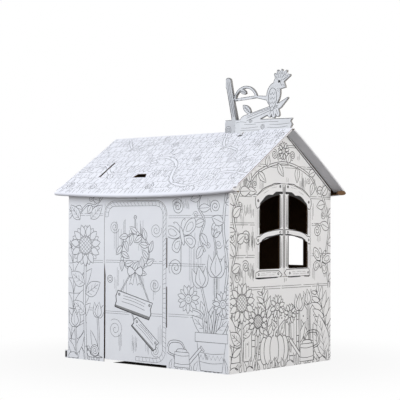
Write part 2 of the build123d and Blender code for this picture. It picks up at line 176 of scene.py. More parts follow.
def cut_edge(name, papers, hollow_shades):
    """The open edge of single-wall corrugated board."""
    material, tree = new_material(name)
    sheet = add_node(tree, "UVMap", {"uv_map": "sheet"})
    place = add_node(tree, "SeparateXYZ", Vector=sheet)
    along, across = place.outputs["X"], place.outputs["Y"]
    turn = add_node(tree, "Math", {"operation": "MULTIPLY"}, i0=along, i1=2 * math.pi / FLUTE)
    wave = add_node(tree, "Math", {"operation": "SINE"}, i0=turn)
    line = add_node(tree, "Math", {"operation": "MULTIPLY_ADD"}, i0=wave, i1=0.36, i2=0.5)
    off_line = add_node(tree, "Math", {"operation": "SUBTRACT"}, i0=across, i1=line)
    from_line = add_node(tree, "Math", {"operation": "ABSOLUTE"}, i0=off_line)
    middle = add_node(tree, "Math", {"operation": "SUBTRACT"}, i0=across, i1=0.5)
    from_middle = add_node(tree, "Math", {"operation": "ABSOLUTE"}, i0=middle)
    medium = add_node(tree, "Math", {"operation": "LESS_THAN"}, i0=from_line, i1=0.1)
    liner = add_node(tree, "Math", {"operation": "GREATER_THAN"}, i0=from_middle, i1=0.4)
    paper = add_node(tree, "Math", {"operation": "MAXIMUM"}, i0=medium, i1=liner)
    fuzz = add_node(tree, "TexNoise", Vector=sheet, Scale=1 / FUZZ, Detail=3.0)
    # The hollows' colours are painted shade, the darkness inside the open flutes.
    lit, hollow_shade = (add_node(tree, "ValToRGB", stops=zip((0.3, 0.7), codes), i0=fuzz)
                   for codes in (papers, hollow_shades))
    both = add_node(tree, "Mix", {"data_type": "RGBA"}, i0=paper, i6=hollow_shade, i7=lit)
    bump = add_node(tree, "Bump", Height=paper, Strength=0.4, Distance=1 * MM)
    shader = add_node(tree, "BsdfPrincipled", Base_Color=both.outputs[2], Roughness=0.92, Normal=bump)
    add_node(tree, "OutputMaterial", Surface=shader)
    return material


EDGE = cut_edge("corrugated cut edge", ("#7C5A3A", "#A07C55"), ("#2A1C11", "#4A3523"))
PALE_EDGE = cut_edge("corrugated cut edge, white fluting", ("#B4B1AD", "#C8C6C3"),
                     ("#8A8682", "#A19D99"))
print("made", EDGE.name, "and", PALE_EDGE.name)

# %% [markdown]
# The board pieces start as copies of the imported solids, merged so that neighbouring faces share their
# corners. Each face then has to learn which paper it wears. On the walls that is easy: compare the
# face's direction with the direction that its panel faces. Faces that look out are white, faces that
# look in are kraft, and faces that lie across the board are cut edges.

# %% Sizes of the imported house
wall_low, wall_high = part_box("front_wall_sheet")
roof_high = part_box("roof_sheet")[1]
ridge_low, ridge_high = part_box("ridge_piece")
HALF_LENGTH = wall_high.x
HALF_WIDTH = -wall_low.y
ROOF_END = roof_high.x
PITCH = math.radians(34.7)
RIDGE_Z = 1035 * MM
NOSE = 9 * MM
NOSE_Y = roof_high.y - NOSE
NOSE_Z = RIDGE_Z - NOSE_Y * math.tan(PITCH) - NOSE / math.cos(PITCH)
for part, size in (("length", HALF_LENGTH), ("width", HALF_WIDTH), ("roof", ROOF_END)):
    print("half", part, round(size / MM), "mm")

# %% Which paper a wall face wears
WHITE_SIDE, KRAFT_SIDE, CUT_SIDE, SHADED_END_SIDE = range(4)
FOLD = 6 * MM + 0.6 * MM
SKIN = 0.5 * MM


def wall_paper(centre, normal):
    """Paper, the direction the panel faces and the direction across its flutes, for a wall face."""
    side_x = math.copysign(1, centre.x)
    side_y = math.copysign(1, centre.y)
    by_gable = HALF_LENGTH - abs(centre.x) < FOLD
    by_wall = HALF_WIDTH - abs(centre.y) < FOLD
    if by_gable and by_wall and abs(centre.x) < HALF_LENGTH:
        facing = Vector((side_x, side_y, 0)).normalized()
        paper_line = 0.25
    elif by_wall:
        facing = Vector((0, side_y, 0))
        paper_line = 0.5
    else:
        facing = Vector((side_x, 0, 0))
        paper_line = 0.5
    towards = normal.dot(facing)
    skin = abs(abs(centre.dot(facing)) - (HALF_WIDTH if facing.y and not facing.x else HALF_LENGTH))
    across = Vector((-facing.y, facing.x, 0))
    if towards > paper_line or (skin < SKIN and not (facing.x and facing.y)):
        return WHITE_SIDE, facing, across
    if towards < -paper_line:
        return KRAFT_SIDE, facing, across
    return CUT_SIDE, facing, across


print("wall faces sort by the direction of their panel")

# %% [markdown]
# The roof sheet is folded more often: over the ridge, round the eaves, and flat under itself along
# the rakes. Here a face is placed by how deep it lies under the roof's outer face, and round the folds
# by its distance from the middle of the fold, because the outside of a folded sheet stays the outside.
# The handled front corner by the window gable and the ends of the ridge are pressed shut: all white.

# %% Which paper a roof face wears
HEM_MIDDLE, HEM_DEPTH = 4.5 * MM, 9.5 * MM  # between the hem's two layers, and just below both
HEM_OUTER, HEM_INNER = 3.6 * MM, 1.4 * MM  # just inside the two faces of the hem's fold
LAYER = 4.3 * MM  # just below the top layer
EAVE_INNER = 7 * MM  # between the two faces of the rolled eave
PRESSED_X, PRESSED_Y, PRESSED_RIDGE = 14 * MM, 16 * MM, 12 * MM
CREASE = 4 * MM
ALONG, UPRIGHT = Vector((1, 0, 0)), Vector((0, 0, 1))
FRONT_RAKE, REAR_RAKE = (Vector((0, side * math.cos(PITCH), math.sin(PITCH))) for side in (1, -1))


def roof_depth(point):
    """How deep a point lies below the outer face of its slope."""
    return (RIDGE_Z - point.z) * math.cos(PITCH) - abs(point.y) * math.sin(PITCH)


def slope_out(side):
    """The direction that the roof's rear (1) or front (-1) slope faces."""
    return Vector((0, side * math.sin(PITCH), math.cos(PITCH)))


def roof_paper(centre, normal):
    """Paper, facing direction and direction across the flutes, for a face of the roof sheet."""
    outward = slope_out(math.copysign(1, centre.y))
    upward = normal.dot(outward)
    depth = roof_depth(centre)
    from_nose = math.hypot(abs(centre.y) - NOSE_Y, centre.z - NOSE_Z)
    over_end = abs(centre.x) - (ROOF_END - HEM_MIDDLE)
    by_corner = centre.x > ROOF_END - PRESSED_X and centre.y < PRESSED_Y - NOSE_Y
    by_ridge_end = over_end > 0 and abs(centre.y) < PRESSED_RIDGE and abs(normal.x) > 0.5
    by_eave = abs(centre.y) > NOSE_Y or centre.z < NOSE_Z + 2 * MM
    facing = outward
    if by_corner or by_ridge_end:
        white = True
    elif over_end > 0.01 * MM and depth < HEM_DEPTH and abs(normal.dot(REAR_RAKE)) < 0.5:
        radius = math.hypot(over_end, depth - HEM_MIDDLE)
        if HEM_INNER <= radius <= HEM_OUTER:
            return CUT_SIDE, outward, ALONG
        white = radius > HEM_OUTER
    elif abs(normal.x) > 0.5:
        return CUT_SIDE, outward, ALONG
    elif abs(upward) > 0.95 and depth < LAYER:
        white = upward > 0
    elif by_eave and from_nose < NOSE + SKIN and abs(centre.y) > NOSE_Y - 1 * MM:
        white = from_nose > EAVE_INNER
    elif by_eave and abs(normal.z) > 0.7:
        facing, white = -UPRIGHT, normal.z < 0
    elif abs(centre.y) < CREASE and abs(normal.z) > 0.7:
        facing, white = UPRIGHT, normal.z > 0
    elif abs(upward) > 0.7:
        white = upward < 0 if depth > HEM_MIDDLE else upward > 0
    else:
        return CUT_SIDE, outward, ALONG
    return (WHITE_SIDE if white else KRAFT_SIDE), facing, ALONG


print("the hem turns over", round(2 * HEM_MIDDLE / MM, 1), "mm deep")

# %% [markdown]
# The ridge piece is one strip of board folded at its left end into two layers, so its outside looks
# away from the other layer, and round the fold it looks to the left. Its left end, with the post, turns
# away from the light, and its shade is painted as a darker grey, so that part counts as one more paper.

# %% Which paper a face of the ridge piece wears
SHADED_WIDE, SHADED_POST, SHADED_STEP = 68, 74, 58
END_FOLD = 9 * MM
TAB = 4.6 * MM


def ridge_paper(centre, normal):
    """Paper, facing direction and direction across the flutes, for a face of the ridge piece."""
    side_y = math.copysign(1, centre.y)
    outward = Vector((0, side_y, 0))
    on_slope = slope_out(side_y)
    if -TAB < roof_depth(centre) < SKIN and abs(normal.dot(on_slope)) > 0.9:
        return (WHITE_SIDE if normal.dot(on_slope) > 0 else KRAFT_SIDE), on_slope, ALONG
    if centre.x < ridge_low.x + END_FOLD and abs(normal.z) < 0.2 and abs(normal.x) > 0.3:
        return SHADED_END_SIDE, -ALONG, Vector((0, 1, 0))
    if abs(normal.y) <= 0.5:
        return CUT_SIDE, outward, ALONG
    if normal.y * side_y < 0:
        return KRAFT_SIDE, outward, ALONG
    along, up = (centre.x - ridge_low.x) / MM, (centre.z - RIDGE_Z) / MM
    # The left end and the post wear the painted shade.
    shaded = along < SHADED_WIDE or (along < SHADED_POST and up > SHADED_STEP)
    return (SHADED_END_SIDE if shaded else WHITE_SIDE), outward, ALONG


print("ridge piece reaches", round((ridge_high.z - RIDGE_Z) / MM), "mm above the ridge")

# %% [markdown]
# A sheet this long never lies dead flat. The front eave sags a little in the middle and lifts at its
# corners, and the rear slope springs up along the window gable. The front corner beside the window gable
# has been handled most: it is rounded off. Both are smooth pushes that are nothing at the ridge, so the
# folds stay where they are. The rear eave's ends are drawn in by a millimetre, to make room for what
# closes them. Pushing the points of a finely cut copy is simpler than modelling the bow.

# %% The roof's bow and its soft corner
CORNER = 34 * MM
CURL_BACK, CURL_DEPTH = 1.2 * MM, 30 * MM
FRONT_SAG, FRONT_LIFT, TILT = -7.0, 17.0, 1.5
REAR_SPRING, REAR_SAG = 20.0, 3.0
SLOPE_END = NOSE_Y * math.cos(PITCH) + (RIDGE_Z - NOSE_Z) * math.sin(PITCH) + NOSE


def roof_bow(point):
    """How far the roof sheet lifts (or sags, below zero) at a point, in metres."""
    down = min(1.0, abs(point.y) / NOSE_Y)
    out = point.x / ROOF_END
    right = max(0.0, out)
    if point.y < 0:
        return (down ** 2) * (FRONT_SAG + FRONT_LIFT * out ** 2 + TILT * right ** 4 - TILT * out) * MM
    spring = math.sqrt(down) * (1.1 - 0.35 * down ** 4)
    return spring * (REAR_SPRING * right ** 3 - REAR_SAG * (1 - out ** 2)) * MM


def roof_shape(point):
    """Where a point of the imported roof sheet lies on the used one."""
    lifted = point + Vector((0, 0, roof_bow(point)))
    if point.y > NOSE_Y - CURL_DEPTH and abs(point.x) > ROOF_END - 1 * MM:
        lifted.x -= math.copysign(CURL_BACK, point.x)
    down = -point.y * math.cos(PITCH) + (RIDGE_Z - point.z) * math.sin(PITCH)
    past_x = point.x - (ROOF_END - CORNER)
    past_down = down - (SLOPE_END - CORNER)
    if point.y > 0 or past_x <= 0 or past_down <= 0:
        return lifted
    pull = 1 - max(past_x, past_down) / math.hypot(past_x, past_down)
    return lifted - Vector((past_x * pull, 0, 0)) + FRONT_RAKE * past_down * pull


print("front eave:", [round(roof_bow(Vector((x, -NOSE_Y, 0))) / MM) for x in (-0.53, 0, 0.53)], "mm")

# %% [markdown]
# The ridge piece stands open at its foot, where it sits astride the ridge, and its two layers lean
# together higher up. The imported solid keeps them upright, so the copy is leaned in here, by the same
# amount on both faces of a layer, so that the board keeps its thickness.

# %% The ridge piece's lean
LEAN = 0.95
OPEN_PLACES = [(0, 5), (9, 5), (96, 15), (212, 0), (380, 0)]
LEAN_FROM, LEAN_OVER, INNER_HALF = 22 * MM, 60 * MM, 6 * MM


def ridge_shape(point):
    """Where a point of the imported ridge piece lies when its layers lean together."""
    along = (point.x - ridge_low.x) / MM
    gap = np.interp(along, *zip(*OPEN_PLACES)) * MM
    rise = min(1.0, max(0.0, (point.z - RIDGE_Z - LEAN_FROM) / LEAN_OVER))
    lean = LEAN * gap * rise * rise * (3 - 2 * rise)
    held = min(1.0, abs(point.y) / INNER_HALF)
    return point - Vector((0, math.copysign(lean * held, point.y), 0))


print("layers lean in by up to", round(LEAN * max(gap for _, gap in OPEN_PLACES), 1), "mm")

# %% [markdown]
# Now the boards. The copy is merged, cut by a grid of planes where it has to bend, sorted face by face
# into its papers, and given its UV map: metres across and along the flutes on the liners, and distance
# and thickness on the cut edges. Edges sharper than a fold stay sharp in the shading.

# %% From a bmesh to a piece of the house
MERGE = 1e-6


def add_object(name, data):
    """A new object in the scene for a mesh, a curve, a lamp or a camera."""
    thing = bpy.data.objects.new(name, data)
    bpy.context.scene.collection.objects.link(thing)
    return thing


def add_piece(name, work, materials, slot):
    """A piece that is fixed to the house, made of a finished bmesh."""
    mesh = bpy.data.meshes.new(name)
    work.to_mesh(mesh)
    work.free()
    for material in materials:
        mesh.materials.append(material)
    piece = add_object(name, mesh)
    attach(piece, "root")
    return piece


print("corners closer than", MERGE / MM, "mm are merged")

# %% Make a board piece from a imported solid
SHARP = math.radians(30)


def board_piece(name, node, slot, papers, paper_of, shape=None, cuts=()):
    """A copy of a packed sheet, dressed in its papers: outside, inside, cut edge and any painted shade."""
    work = bmesh.new()
    work.from_mesh(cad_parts[node].data)
    bmesh.ops.remove_doubles(work, verts=work.verts, dist=MERGE)
    for place, direction in cuts:
        bmesh.ops.bisect_plane(work, geom=work.verts[:] + work.edges[:] + work.faces[:], dist=MERGE,
                               plane_co=place, plane_no=direction)
    uv_map = work.loops.layers.uv.new("sheet")
    count = [0] * len(papers)
    for face in work.faces:
        paper, facing, across = paper_of(face.calc_center_median(), face.normal)
        face.material_index = paper
        face.smooth = True
        count[paper] += 1
        if paper == CUT_SIDE:
            along = face.normal.cross(facing)
            crossing = abs(along.dot(across)) > 0.5
            depths = [loop.vert.co.dot(facing) for loop in face.loops]
            deep = max(max(depths) - min(depths), 1 * MM)
            for loop, depth in zip(face.loops, depths):
                run = loop.vert.co.dot(across) if crossing else 0.0
                loop[uv_map].uv = (run, (depth - min(depths)) / deep)
        else:
            along = facing.cross(across)
            for loop in face.loops:
                loop[uv_map].uv = (loop.vert.co.dot(across), loop.vert.co.dot(along))
    for edge in work.edges:
        edge.smooth = edge.calc_face_angle(0) < SHARP
    if shape:
        for vert in work.verts:
            vert.co = shape(vert.co)
    piece = add_piece(name, work, papers, slot)
    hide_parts(node)
    print(name, "faces by paper:", count)
    return piece


# %% Dress the two wall sheets, the roof and the ridge piece
wall_papers = (WALL_WHITE, KRAFT, EDGE)
front_sheet = board_piece("front_sheet_board", "front_wall_sheet", "wall_board", wall_papers, wall_paper)
back_sheet = board_piece("back_sheet_board", "back_wall_sheet", "wall_board", wall_papers, wall_paper)
EVERY_X, EVERY_Y, CORNER_X, CORNER_Y = 40, 33, (501, 507, 513, 523, 528), (378, 383, 388, 393)
roof_grid = [((x * EVERY_X * MM, 0, 0), ALONG) for x in range(-13, 14)]
roof_grid += [((0, y * EVERY_Y * MM, 0), (0, 1, 0)) for y in range(-12, 13)]
roof_grid += [((x * MM, 0, 0), ALONG) for x in CORNER_X]
roof_grid += [((0, -y * MM, 0), (0, 1, 0)) for y in CORNER_Y]
roof = board_piece("roof_board", "roof_sheet", "roof_board", (ROOF_WHITE, KRAFT, EDGE), roof_paper,
                   roof_shape, roof_grid)
ridge_grid = [((0, 0, RIDGE_Z + z * MM), UPRIGHT) for z in range(22, 90, 10)]
ridge_grid += [((ridge_low.x + x * MM, 0, 0), ALONG) for x in (SHADED_WIDE, SHADED_POST)]
ridge_grid += [((0, 0, RIDGE_Z + SHADED_STEP * MM), UPRIGHT)]
ridge_papers = (RIDGE_WHITE, RIDGE_WHITE, PALE_EDGE, RIDGE_PAINTED_SHADE)
ridge_board = board_piece("ridge_piece_board", "ridge_piece", "ridge_board", ridge_papers, ridge_paper,
                          ridge_shape, ridge_grid)

# %% [markdown]
# A few small places are closed with flat plates. The rear eave's ends are folded shut, so they show a
# brown oval of the board's inside. The bird's crest is one plume whose feathers part only at their
# tips, so a plate fills the gaps between them, a hair below the printed faces. A plate is a closed flat
# curve that Blender fills and gives a thickness.

# %% Eave ends and crest


def curve_mesh(curve):
    """The mesh that Blender makes of a curve."""
    drawn = add_object(curve.name, curve)
    mesh = bpy.data.meshes.new_from_object(drawn.evaluated_get(bpy.context.evaluated_depsgraph_get()))
    bpy.data.objects.remove(drawn)
    return mesh


def add_spline(curve, points, closed=False):
    """Add a line through points in millimetres, and hand its points back."""
    spline = curve.splines.new("POLY")
    spline.points.add(len(points) - 1)
    spline.use_cyclic_u = closed
    for point, (u, v) in zip(spline.points, points):
        point.co = (u * MM, v * MM, 0, 1)
    return spline.points


def filled(name, points, half_thick):
    """A filled flat outline, given a thickness to both sides."""
    curve = bpy.data.curves.new(name, "CURVE")
    curve.dimensions = "2D"
    curve.fill_mode = "BOTH"
    curve.extrude = half_thick
    add_spline(curve, points, closed=True)
    return curve_mesh(curve)


def plate(name, points, half_thick, across, middle, paper, slot):
    """An upright flat plate, its outline given across and up from its middle."""
    stand = Matrix((across, UPRIGHT, across.cross(UPRIGHT))).transposed()
    work = bmesh.new()
    work.from_mesh(filled(name, points, half_thick))
    bmesh.ops.remove_doubles(work, verts=work.verts[:], dist=MERGE)
    sheet = work.loops.layers.uv.new("sheet")
    for face in work.faces:
        for loop in face.loops:
            loop[sheet].uv = loop.vert.co.xy
    for vert in work.verts:
        vert.co = middle + stand @ vert.co
    bmesh.ops.recalc_face_normals(work, faces=work.faces[:])
    piece = add_piece(name, work, [paper], slot)
    print(name, "faces:", len(piece.data.polygons))


TURN = np.linspace(0, 2 * math.pi, 32)[:-1]
OVAL = [(35 * math.cos(a) - 26.6, 10 * math.sin(a) - 1.6) for a in TURN]
OVAL_THICK, OVAL_SUNK = 3 * MM, 1.7 * MM
for name, end in (("eave_end_right", 1), ("eave_end_left", -1)):
    lift = roof_bow(Vector((end * ROOF_END, NOSE_Y, 0)))
    plate(name, OVAL, OVAL_THICK / 2, Vector((0, 1, 0)),
          Vector((end * (ROOF_END - OVAL_SUNK), NOSE_Y, NOSE_Z + lift)), KRAFT, "roof_board")
HEAD = Vector((301, 199))
FEATHER_TIPS = [Vector(tip) for tip in ((280, 238), (296, 252), (319, 253), (343, 247), (360, 228))]
TIP_SHARE, VALLEY_SHARE = 0.96, 0.95
plume = [(292, 206), HEAD + TIP_SHARE * (FEATHER_TIPS[0] - HEAD)]
for last, tip in zip(FEATHER_TIPS, FEATHER_TIPS[1:]):
    plume.append(HEAD + VALLEY_SHARE * ((last + tip) / 2 - HEAD))
    plume.append(HEAD + TIP_SHARE * (tip - HEAD))
PLUME_HALF = 3.9 * MM
plate("crest_plume", plume + [(312, 200)], PLUME_HALF, ALONG, Vector((ridge_low.x, 0, RIDGE_Z)), RIDGE_WHITE,
      "ridge_board")

# %% [markdown]
# Now the print. It is line art for colouring: black pen lines of 1 to 5 mm on the white paper, with a
# little grey tone on the window boards and the hanging planks. It could be painted as a texture, but thin
# lines stay crisp at any distance when they are real geometry, so every line becomes a very flat strip of
# ink. First come the tools of the draughtsman: a smooth line through points, a way to put a motif
# somewhere, and even spacing along a line.

# %% Drawing tools, in millimetres on the flat sheet


def flow(points, closed=False, parts=8):
    """A smooth line through the given points."""
    count = len(points)
    line = []
    for i in range(count if closed else count - 1):
        near = [k % count if closed else min(max(k, 0), count - 1) for k in range(i - 1, i + 3)]
        a, b, c, e = (Vector(points[k]) for k in near)
        for j in range(parts):
            t = j / parts
            line.append(0.5 * (2 * b + (c - a) * t + (2 * a - 5 * b + 4 * c - e) * t * t
                               + (3 * b - a - 3 * c + e) * t ** 3))
    line.append(Vector(points[0] if closed else points[-1]))
    return line


def put(points, at, angle=0.0, size=1.0):
    """Turn, scale and move points to a place on the sheet; the angle is in degrees."""
    turn = Matrix.Rotation(math.radians(angle), 2)
    return [turn @ (Vector(p) * size) + Vector(at) for p in points]


def ring(at, radius, start=0, end=360, parts=36, squash=1.0):
    """Points along a circle or an arc of it."""
    steps = [math.radians(start + (end - start) * i / parts) for i in range(parts + 1)]
    return [Vector((at[0] + radius * math.cos(a), at[1] + squash * radius * math.sin(a))) for a in steps]


def spaced(points, step):
    """The same line with a point at least every step millimetres, as an array."""
    given = np.array([tuple(p) for p in points], float)
    out = [given[:1]]
    for a, b in zip(given[:-1], given[1:]):
        pieces = max(1, int(math.ceil(np.linalg.norm(b - a) / step)))
        out.append(a + (b - a) * np.linspace(0, 1, pieces + 1)[1:, None])
    return np.concatenate(out)


def within(points, outline):
    """Which points lie inside a closed outline."""
    x, y = points[:, 0][:, None], points[:, 1][:, None]
    a, b = outline, np.roll(outline, -1, axis=0)
    rises = (a[:, 1] > y) != (b[:, 1] > y)
    slant = np.where(b[:, 1] == a[:, 1], 1, b[:, 1] - a[:, 1])
    left_of = x < (b[:, 0] - a[:, 0]) * (y - a[:, 1]) / slant + a[:, 0]
    return (rises & left_of).sum(axis=1) % 2 == 1


def runs_of(points, shown):
    """A line cut wherever it comes into sight or goes out of it, and whether each part is in sight."""
    breaks = np.flatnonzero(np.diff(shown.astype(int))) + 1
    return [(part, lit[0]) for part, lit in zip(np.split(points, breaks), np.split(shown, breaks))]


def run_length(points):
    """The length of a line."""
    return np.linalg.norm(np.diff(points, axis=0), axis=1).sum()


print("a smooth line through 3 points has", len(flow([(0, 0), (5, 5), (10, 0)])), "points")

# %% [markdown]
# Things in a drawing hide what is behind them. An artist starts with the nearest thing and stops each
# later line where it runs behind. The Drawing below does the same: a shape draws its outline and then
# covers its area, and every later line is kept only where nothing covers it. A drawing has its own pen
# weight, because the plates for the walls were cut bolder than those for the roof. Grey tones are closed
# outlines that are printed first, under the lines.

# %% A drawing that hides what lies behind
STEP = 2.5


class Drawing:
    """Pen lines on one panel, drawn nearest things first."""

    def __init__(self, name, border, weight):
        self.border = np.array([tuple(p) for p in border], float)
        self.weight = weight
        self.lines = []
        self.tones = []
        self.covers = []
        self.luck = random.Random(name)

    def line(self, points, width=1.6):
        """Draw a line wherever it is inside the border and nothing nearer covers it."""
        dense = spaced(points, STEP)
        shown = within(dense, self.border)
        for outline, low, high in self.covers:
            close = shown & np.all((dense > low) & (dense < high), axis=1)
            if close.any():
                shown[close] = ~within(dense[close], outline)
        for run, lit in runs_of(dense, shown):
            if lit and len(run) > 1:
                self.lines.append((run, width * self.weight))

    def tone(self, outline, grey):
        """Fill a closed outline with one of the grey tones."""
        self.tones.append(([tuple(p) for p in outline], grey))

    def cover(self, outline):
        """Hide later lines inside an outline."""
        area = np.array([tuple(p) for p in outline], float)
        self.covers.append((area, area.min(axis=0), area.max(axis=0)))

    def shape(self, outline, width=1.6):
        """Draw a closed outline, then hide what is behind it."""
        self.line(list(outline) + [outline[0]], width)
        self.cover(outline)

    def length(self):
        """Metres of pen line so far."""
        return sum(run_length(run) for run, _ in self.lines) * MM


print("drawing board ready")

# %% [markdown]
# A stock of garden motifs, each from a few points and a smooth line. Inner lines come first and the
# outline last, because the outline covers the area. Leaves and stalks are the alphabet; most plants are
# made of them.

# %% Leaves and stalks


def leaf(d, at, angle, length, width, veins=3, droop=0.0, pen=1.5):
    """A pointed leaf with a midrib and pairs of side veins, or quite plain if veins is None."""
    def bend(x, y):
        return (x * length, y * width - droop * length * x * x)
    if veins is not None:
        d.line(put(flow([bend(0, 0), bend(0.4, 0), bend(0.85, 0)]), at, angle), pen * 0.75)
    for k in range(veins or 0):
        x = 0.16 + 0.62 * k / veins
        reach = 0.33 - 0.17 * k / veins
        for side in (1, -1):
            d.line(put([bend(x, 0), bend(x + 0.16, side * reach)], at, angle), pen * 0.6)
    upper = flow([bend(0, 0), bend(0.22, 0.4), bend(0.5, 0.5), bend(0.8, 0.27), bend(1, 0)])
    lower = flow([bend(1, 0), bend(0.8, -0.27), bend(0.5, -0.5), bend(0.22, -0.4), bend(0, 0)])
    d.shape(put(upper + lower[1:-1], at, angle), pen)


def heading(line, k):
    """The direction of a line at one of its points."""
    return (line[min(k + 1, len(line) - 1)] - line[max(k - 1, 0)]).normalized()


def stalk(d, path, width, pen=1.5):
    """A stem with two edges."""
    middle = flow(path)
    offsets = [width / 2 * heading(middle, k).orthogonal() for k in range(len(middle))]
    left = [point + off for point, off in zip(middle, offsets)]
    right = [point - off for point, off in zip(middle, offsets)]
    d.line(left, pen)
    d.line(right, pen)
    d.cover(left + right[::-1])


print("leaf and stalk")

# %% Ferns, grass and spirals


def fern(d, at, angle, length, curl=30, pairs=8, pen=1.4):
    """A fern frond with paired leaflets that get smaller towards its tip."""
    turn = math.radians(angle)
    point = Vector(at)
    ribs = []
    for k in range(pairs * 2):
        ribs.append((point.copy(), math.degrees(turn)))
        point += Vector((math.cos(turn), math.sin(turn))) * length / (pairs * 2)
        turn += math.radians(curl) * 2 * k / (pairs * pairs * 4)
    d.line([r[0] for r in ribs], pen)
    for k in range(1, pairs):
        place, ahead = ribs[2 * k]
        size = length * 0.3 * math.sin(math.pi * (0.18 + 0.76 * k / pairs))
        for side in (1, -1):
            leaf(d, place, ahead + side * 52, size, size * 0.36, None, 0.12 * side, pen)


def grass(d, start, end, ground, height, blades, pen=1.3):
    """A row of grass blades with uneven heights."""
    for k in range(blades):
        x = start + (end - start) * (k + d.luck.random()) / blades
        tall = height * d.luck.uniform(0.45, 1.0)
        lean = d.luck.uniform(-0.45, 0.45) * tall
        half = d.luck.uniform(4.5, 8.0)
        tip = (x + lean, ground + tall)
        left = flow([(x - half, ground), (x - half + lean * 0.25, ground + tall * 0.55), tip])
        right = flow([tip, (x + half + lean * 0.3, ground + tall * 0.5), (x + half, ground)])
        d.shape(left + right[1:], pen)


def spiral(d, at, radius, turns=2.6, start=0, pen=1.5):
    """A wood-knot spiral."""
    parts = int(turns * 26)
    points = []
    for k in range(parts + 1):
        a = math.radians(start) + 2 * math.pi * turns * k / parts
        r = radius * (0.1 + 0.9 * k / parts)
        points.append((at[0] + r * math.cos(a), at[1] + r * math.sin(a)))
    d.line(points, pen)


print("fern, grass and spiral")

# %% [markdown]
# Flowers are a disc with petals round it. The petals in front go first, and the ones between them are
# drawn after and so end up behind.

# %% Flowers


def petals(d, at, inner, outer, width, count, turn=0.0, pen=1.5):
    """Two rings of petals, the second one behind the first."""
    for layer in (0, 1):
        for k in range(count):
            a = turn + 360 * (k + 0.5 * layer) / count
            foot = (at[0] + inner * math.cos(math.radians(a)), at[1] + inner * math.sin(math.radians(a)))
            leaf(d, foot, a, (outer - inner) * (0.93 if layer else 1.0), width, None, 0, pen)


def daisy(d, at, radius, count=9, turn=0.0, pen=1.5):
    """A daisy seen from the front."""
    d.shape(ring(at, radius * 0.14), pen * 0.7)
    d.shape(ring(at, radius * 0.3), pen)
    petals(d, at, radius * 0.27, radius, radius * 0.36, count, turn, pen)


def sunflower(d, at, radius, pen=1.6):
    """A sunflower with a criss-cross of seeds."""
    middle = radius * 0.42
    for k in range(-2, 3):
        off = middle * k / 3
        half = math.sqrt(max(middle ** 2 * 0.86 - off ** 2, 0))
        for a in (40, 140):
            d.line(put([(-half, off), (half, off)], at, a), pen * 0.55)
    d.shape(ring(at, middle * 0.95), pen * 0.7)
    d.shape(ring(at, middle * 1.06), pen)
    petals(d, at, middle, radius, radius * 0.33, 11, 8, pen)


def tulip(d, at, size, angle=0.0, pen=1.6):
    """A tulip's cup with three petals, standing on its stalk's end."""
    middle = flow([(0, 0), (-0.3, 0.35), (0, 1.0)]) + flow([(0, 1.0), (0.3, 0.35), (0, 0)])[1:-1]
    d.line(put(flow([(0, 0.12), (-0.05, 0.45), (0, 0.8)]), at, angle, size), pen * 0.6)
    d.shape(put(middle, at, angle, size), pen)
    for side in (1, -1):
        outer = [(0, 0), (0.28 * side, 0.02), (0.47 * side, 0.35), (0.42 * side, 0.92)]
        inner = [(0.42 * side, 0.92), (0.2 * side, 0.62), (0, 0.3)]
        d.shape(put(flow(outer) + flow(inner)[1:], at, angle, size), pen)


def bud(d, at, size, angle, pen=1.5):
    """A round bud in a cup of small leaves."""
    for tip in (-32, 0, 32):
        leaf(d, at, angle + tip, size * 0.62, size * 0.26, None, 0, pen)
    d.line(put(ring((size * 0.62, 0), size * 0.2, -60, 200), at, angle), pen * 0.7)
    d.shape(put(ring((size * 0.62, 0), size * 0.42), at, angle), pen)


print("daisy, sunflower, tulip and bud")

# %% [markdown]
# Garden things give the eye larger blank shapes to colour in: a pot, a watering can, a pumpkin, a
# picket fence, pebbles, and a butterfly or a snail shell between the leaves.

# %% Pot, watering can and pumpkin


def box(x0, z0, x1, z1):
    """The four corners of an upright rectangle."""
    return [(x0, z0), (x1, z0), (x1, z1), (x0, z1)]


def pot(d, at, width, height, pen=1.7):
    """A clay pot with a rim and a zigzag band; at is the middle of its foot."""
    x, z = at
    top, rim = z + height, z + height - height * 0.24
    low, high = width * 0.33, width * 0.44
    d.shape(box(x - width / 2, rim, x + width / 2, top), pen)
    d.line([(x - high * 0.86 + high * 1.72 * k / 12, z + height * (0.42 if k % 2 else 0.3))
            for k in range(13)], pen * 0.7)
    for level, half in ((0.24, 0.35), (0.49, 0.395)):
        d.line(flow([(x - width * half, z + height * level), (x, z + height * (level - 0.035)),
                     (x + width * half, z + height * level)]), pen * 0.7)
    d.shape([(x - low, z), (x + low, z), (x + high, rim), (x - high, rim)], pen)


def watering_can(d, at, size, flip=1, pen=1.7):
    """A watering can; at is the middle of its foot, and flip -1 turns its spout to the left."""
    def p(points):
        return [(at[0] + flip * size * x, at[1] + size * y) for x, y in points]
    d.shape(p([(0.98, 0.88), (1.16, 0.7), (1.2, 0.76), (1.03, 0.94)]), pen)
    for k in range(3):
        drip = [(1.18 + 0.03 * k, 0.66 - 0.02 * k), (1.25 + 0.05 * k, 0.55), (1.27 + 0.06 * k, 0.4)]
        d.line(p(flow(drip)), pen * 0.6)
    d.line(p(flow([(-0.4, 0.16), (0, 0.12), (0.4, 0.16)])), pen * 0.7)
    d.line(p(flow([(-0.385, 0.5), (0, 0.46), (0.385, 0.5)])), pen * 0.7)
    d.shape(p([(-0.42, 0), (0.42, 0), (0.38, 0.62), (-0.38, 0.62)]), pen)
    d.shape(p([(0.4, 0.14), (0.4, 0.32), (1.0, 0.9), (1.08, 0.8)]), pen)
    d.shape(p(flow([(-0.3, 0.62), (-0.2, 0.74), (0.2, 0.74), (0.3, 0.62)])), pen)
    d.line(p(flow([(-0.39, 0.5), (-0.72, 0.62), (-0.6, 0.95), (-0.1, 0.98), (0.12, 0.75)])), pen)
    d.line(p(flow([(-0.4, 0.42), (-0.8, 0.58), (-0.66, 1.03), (-0.06, 1.05), (0.2, 0.74)])), pen)


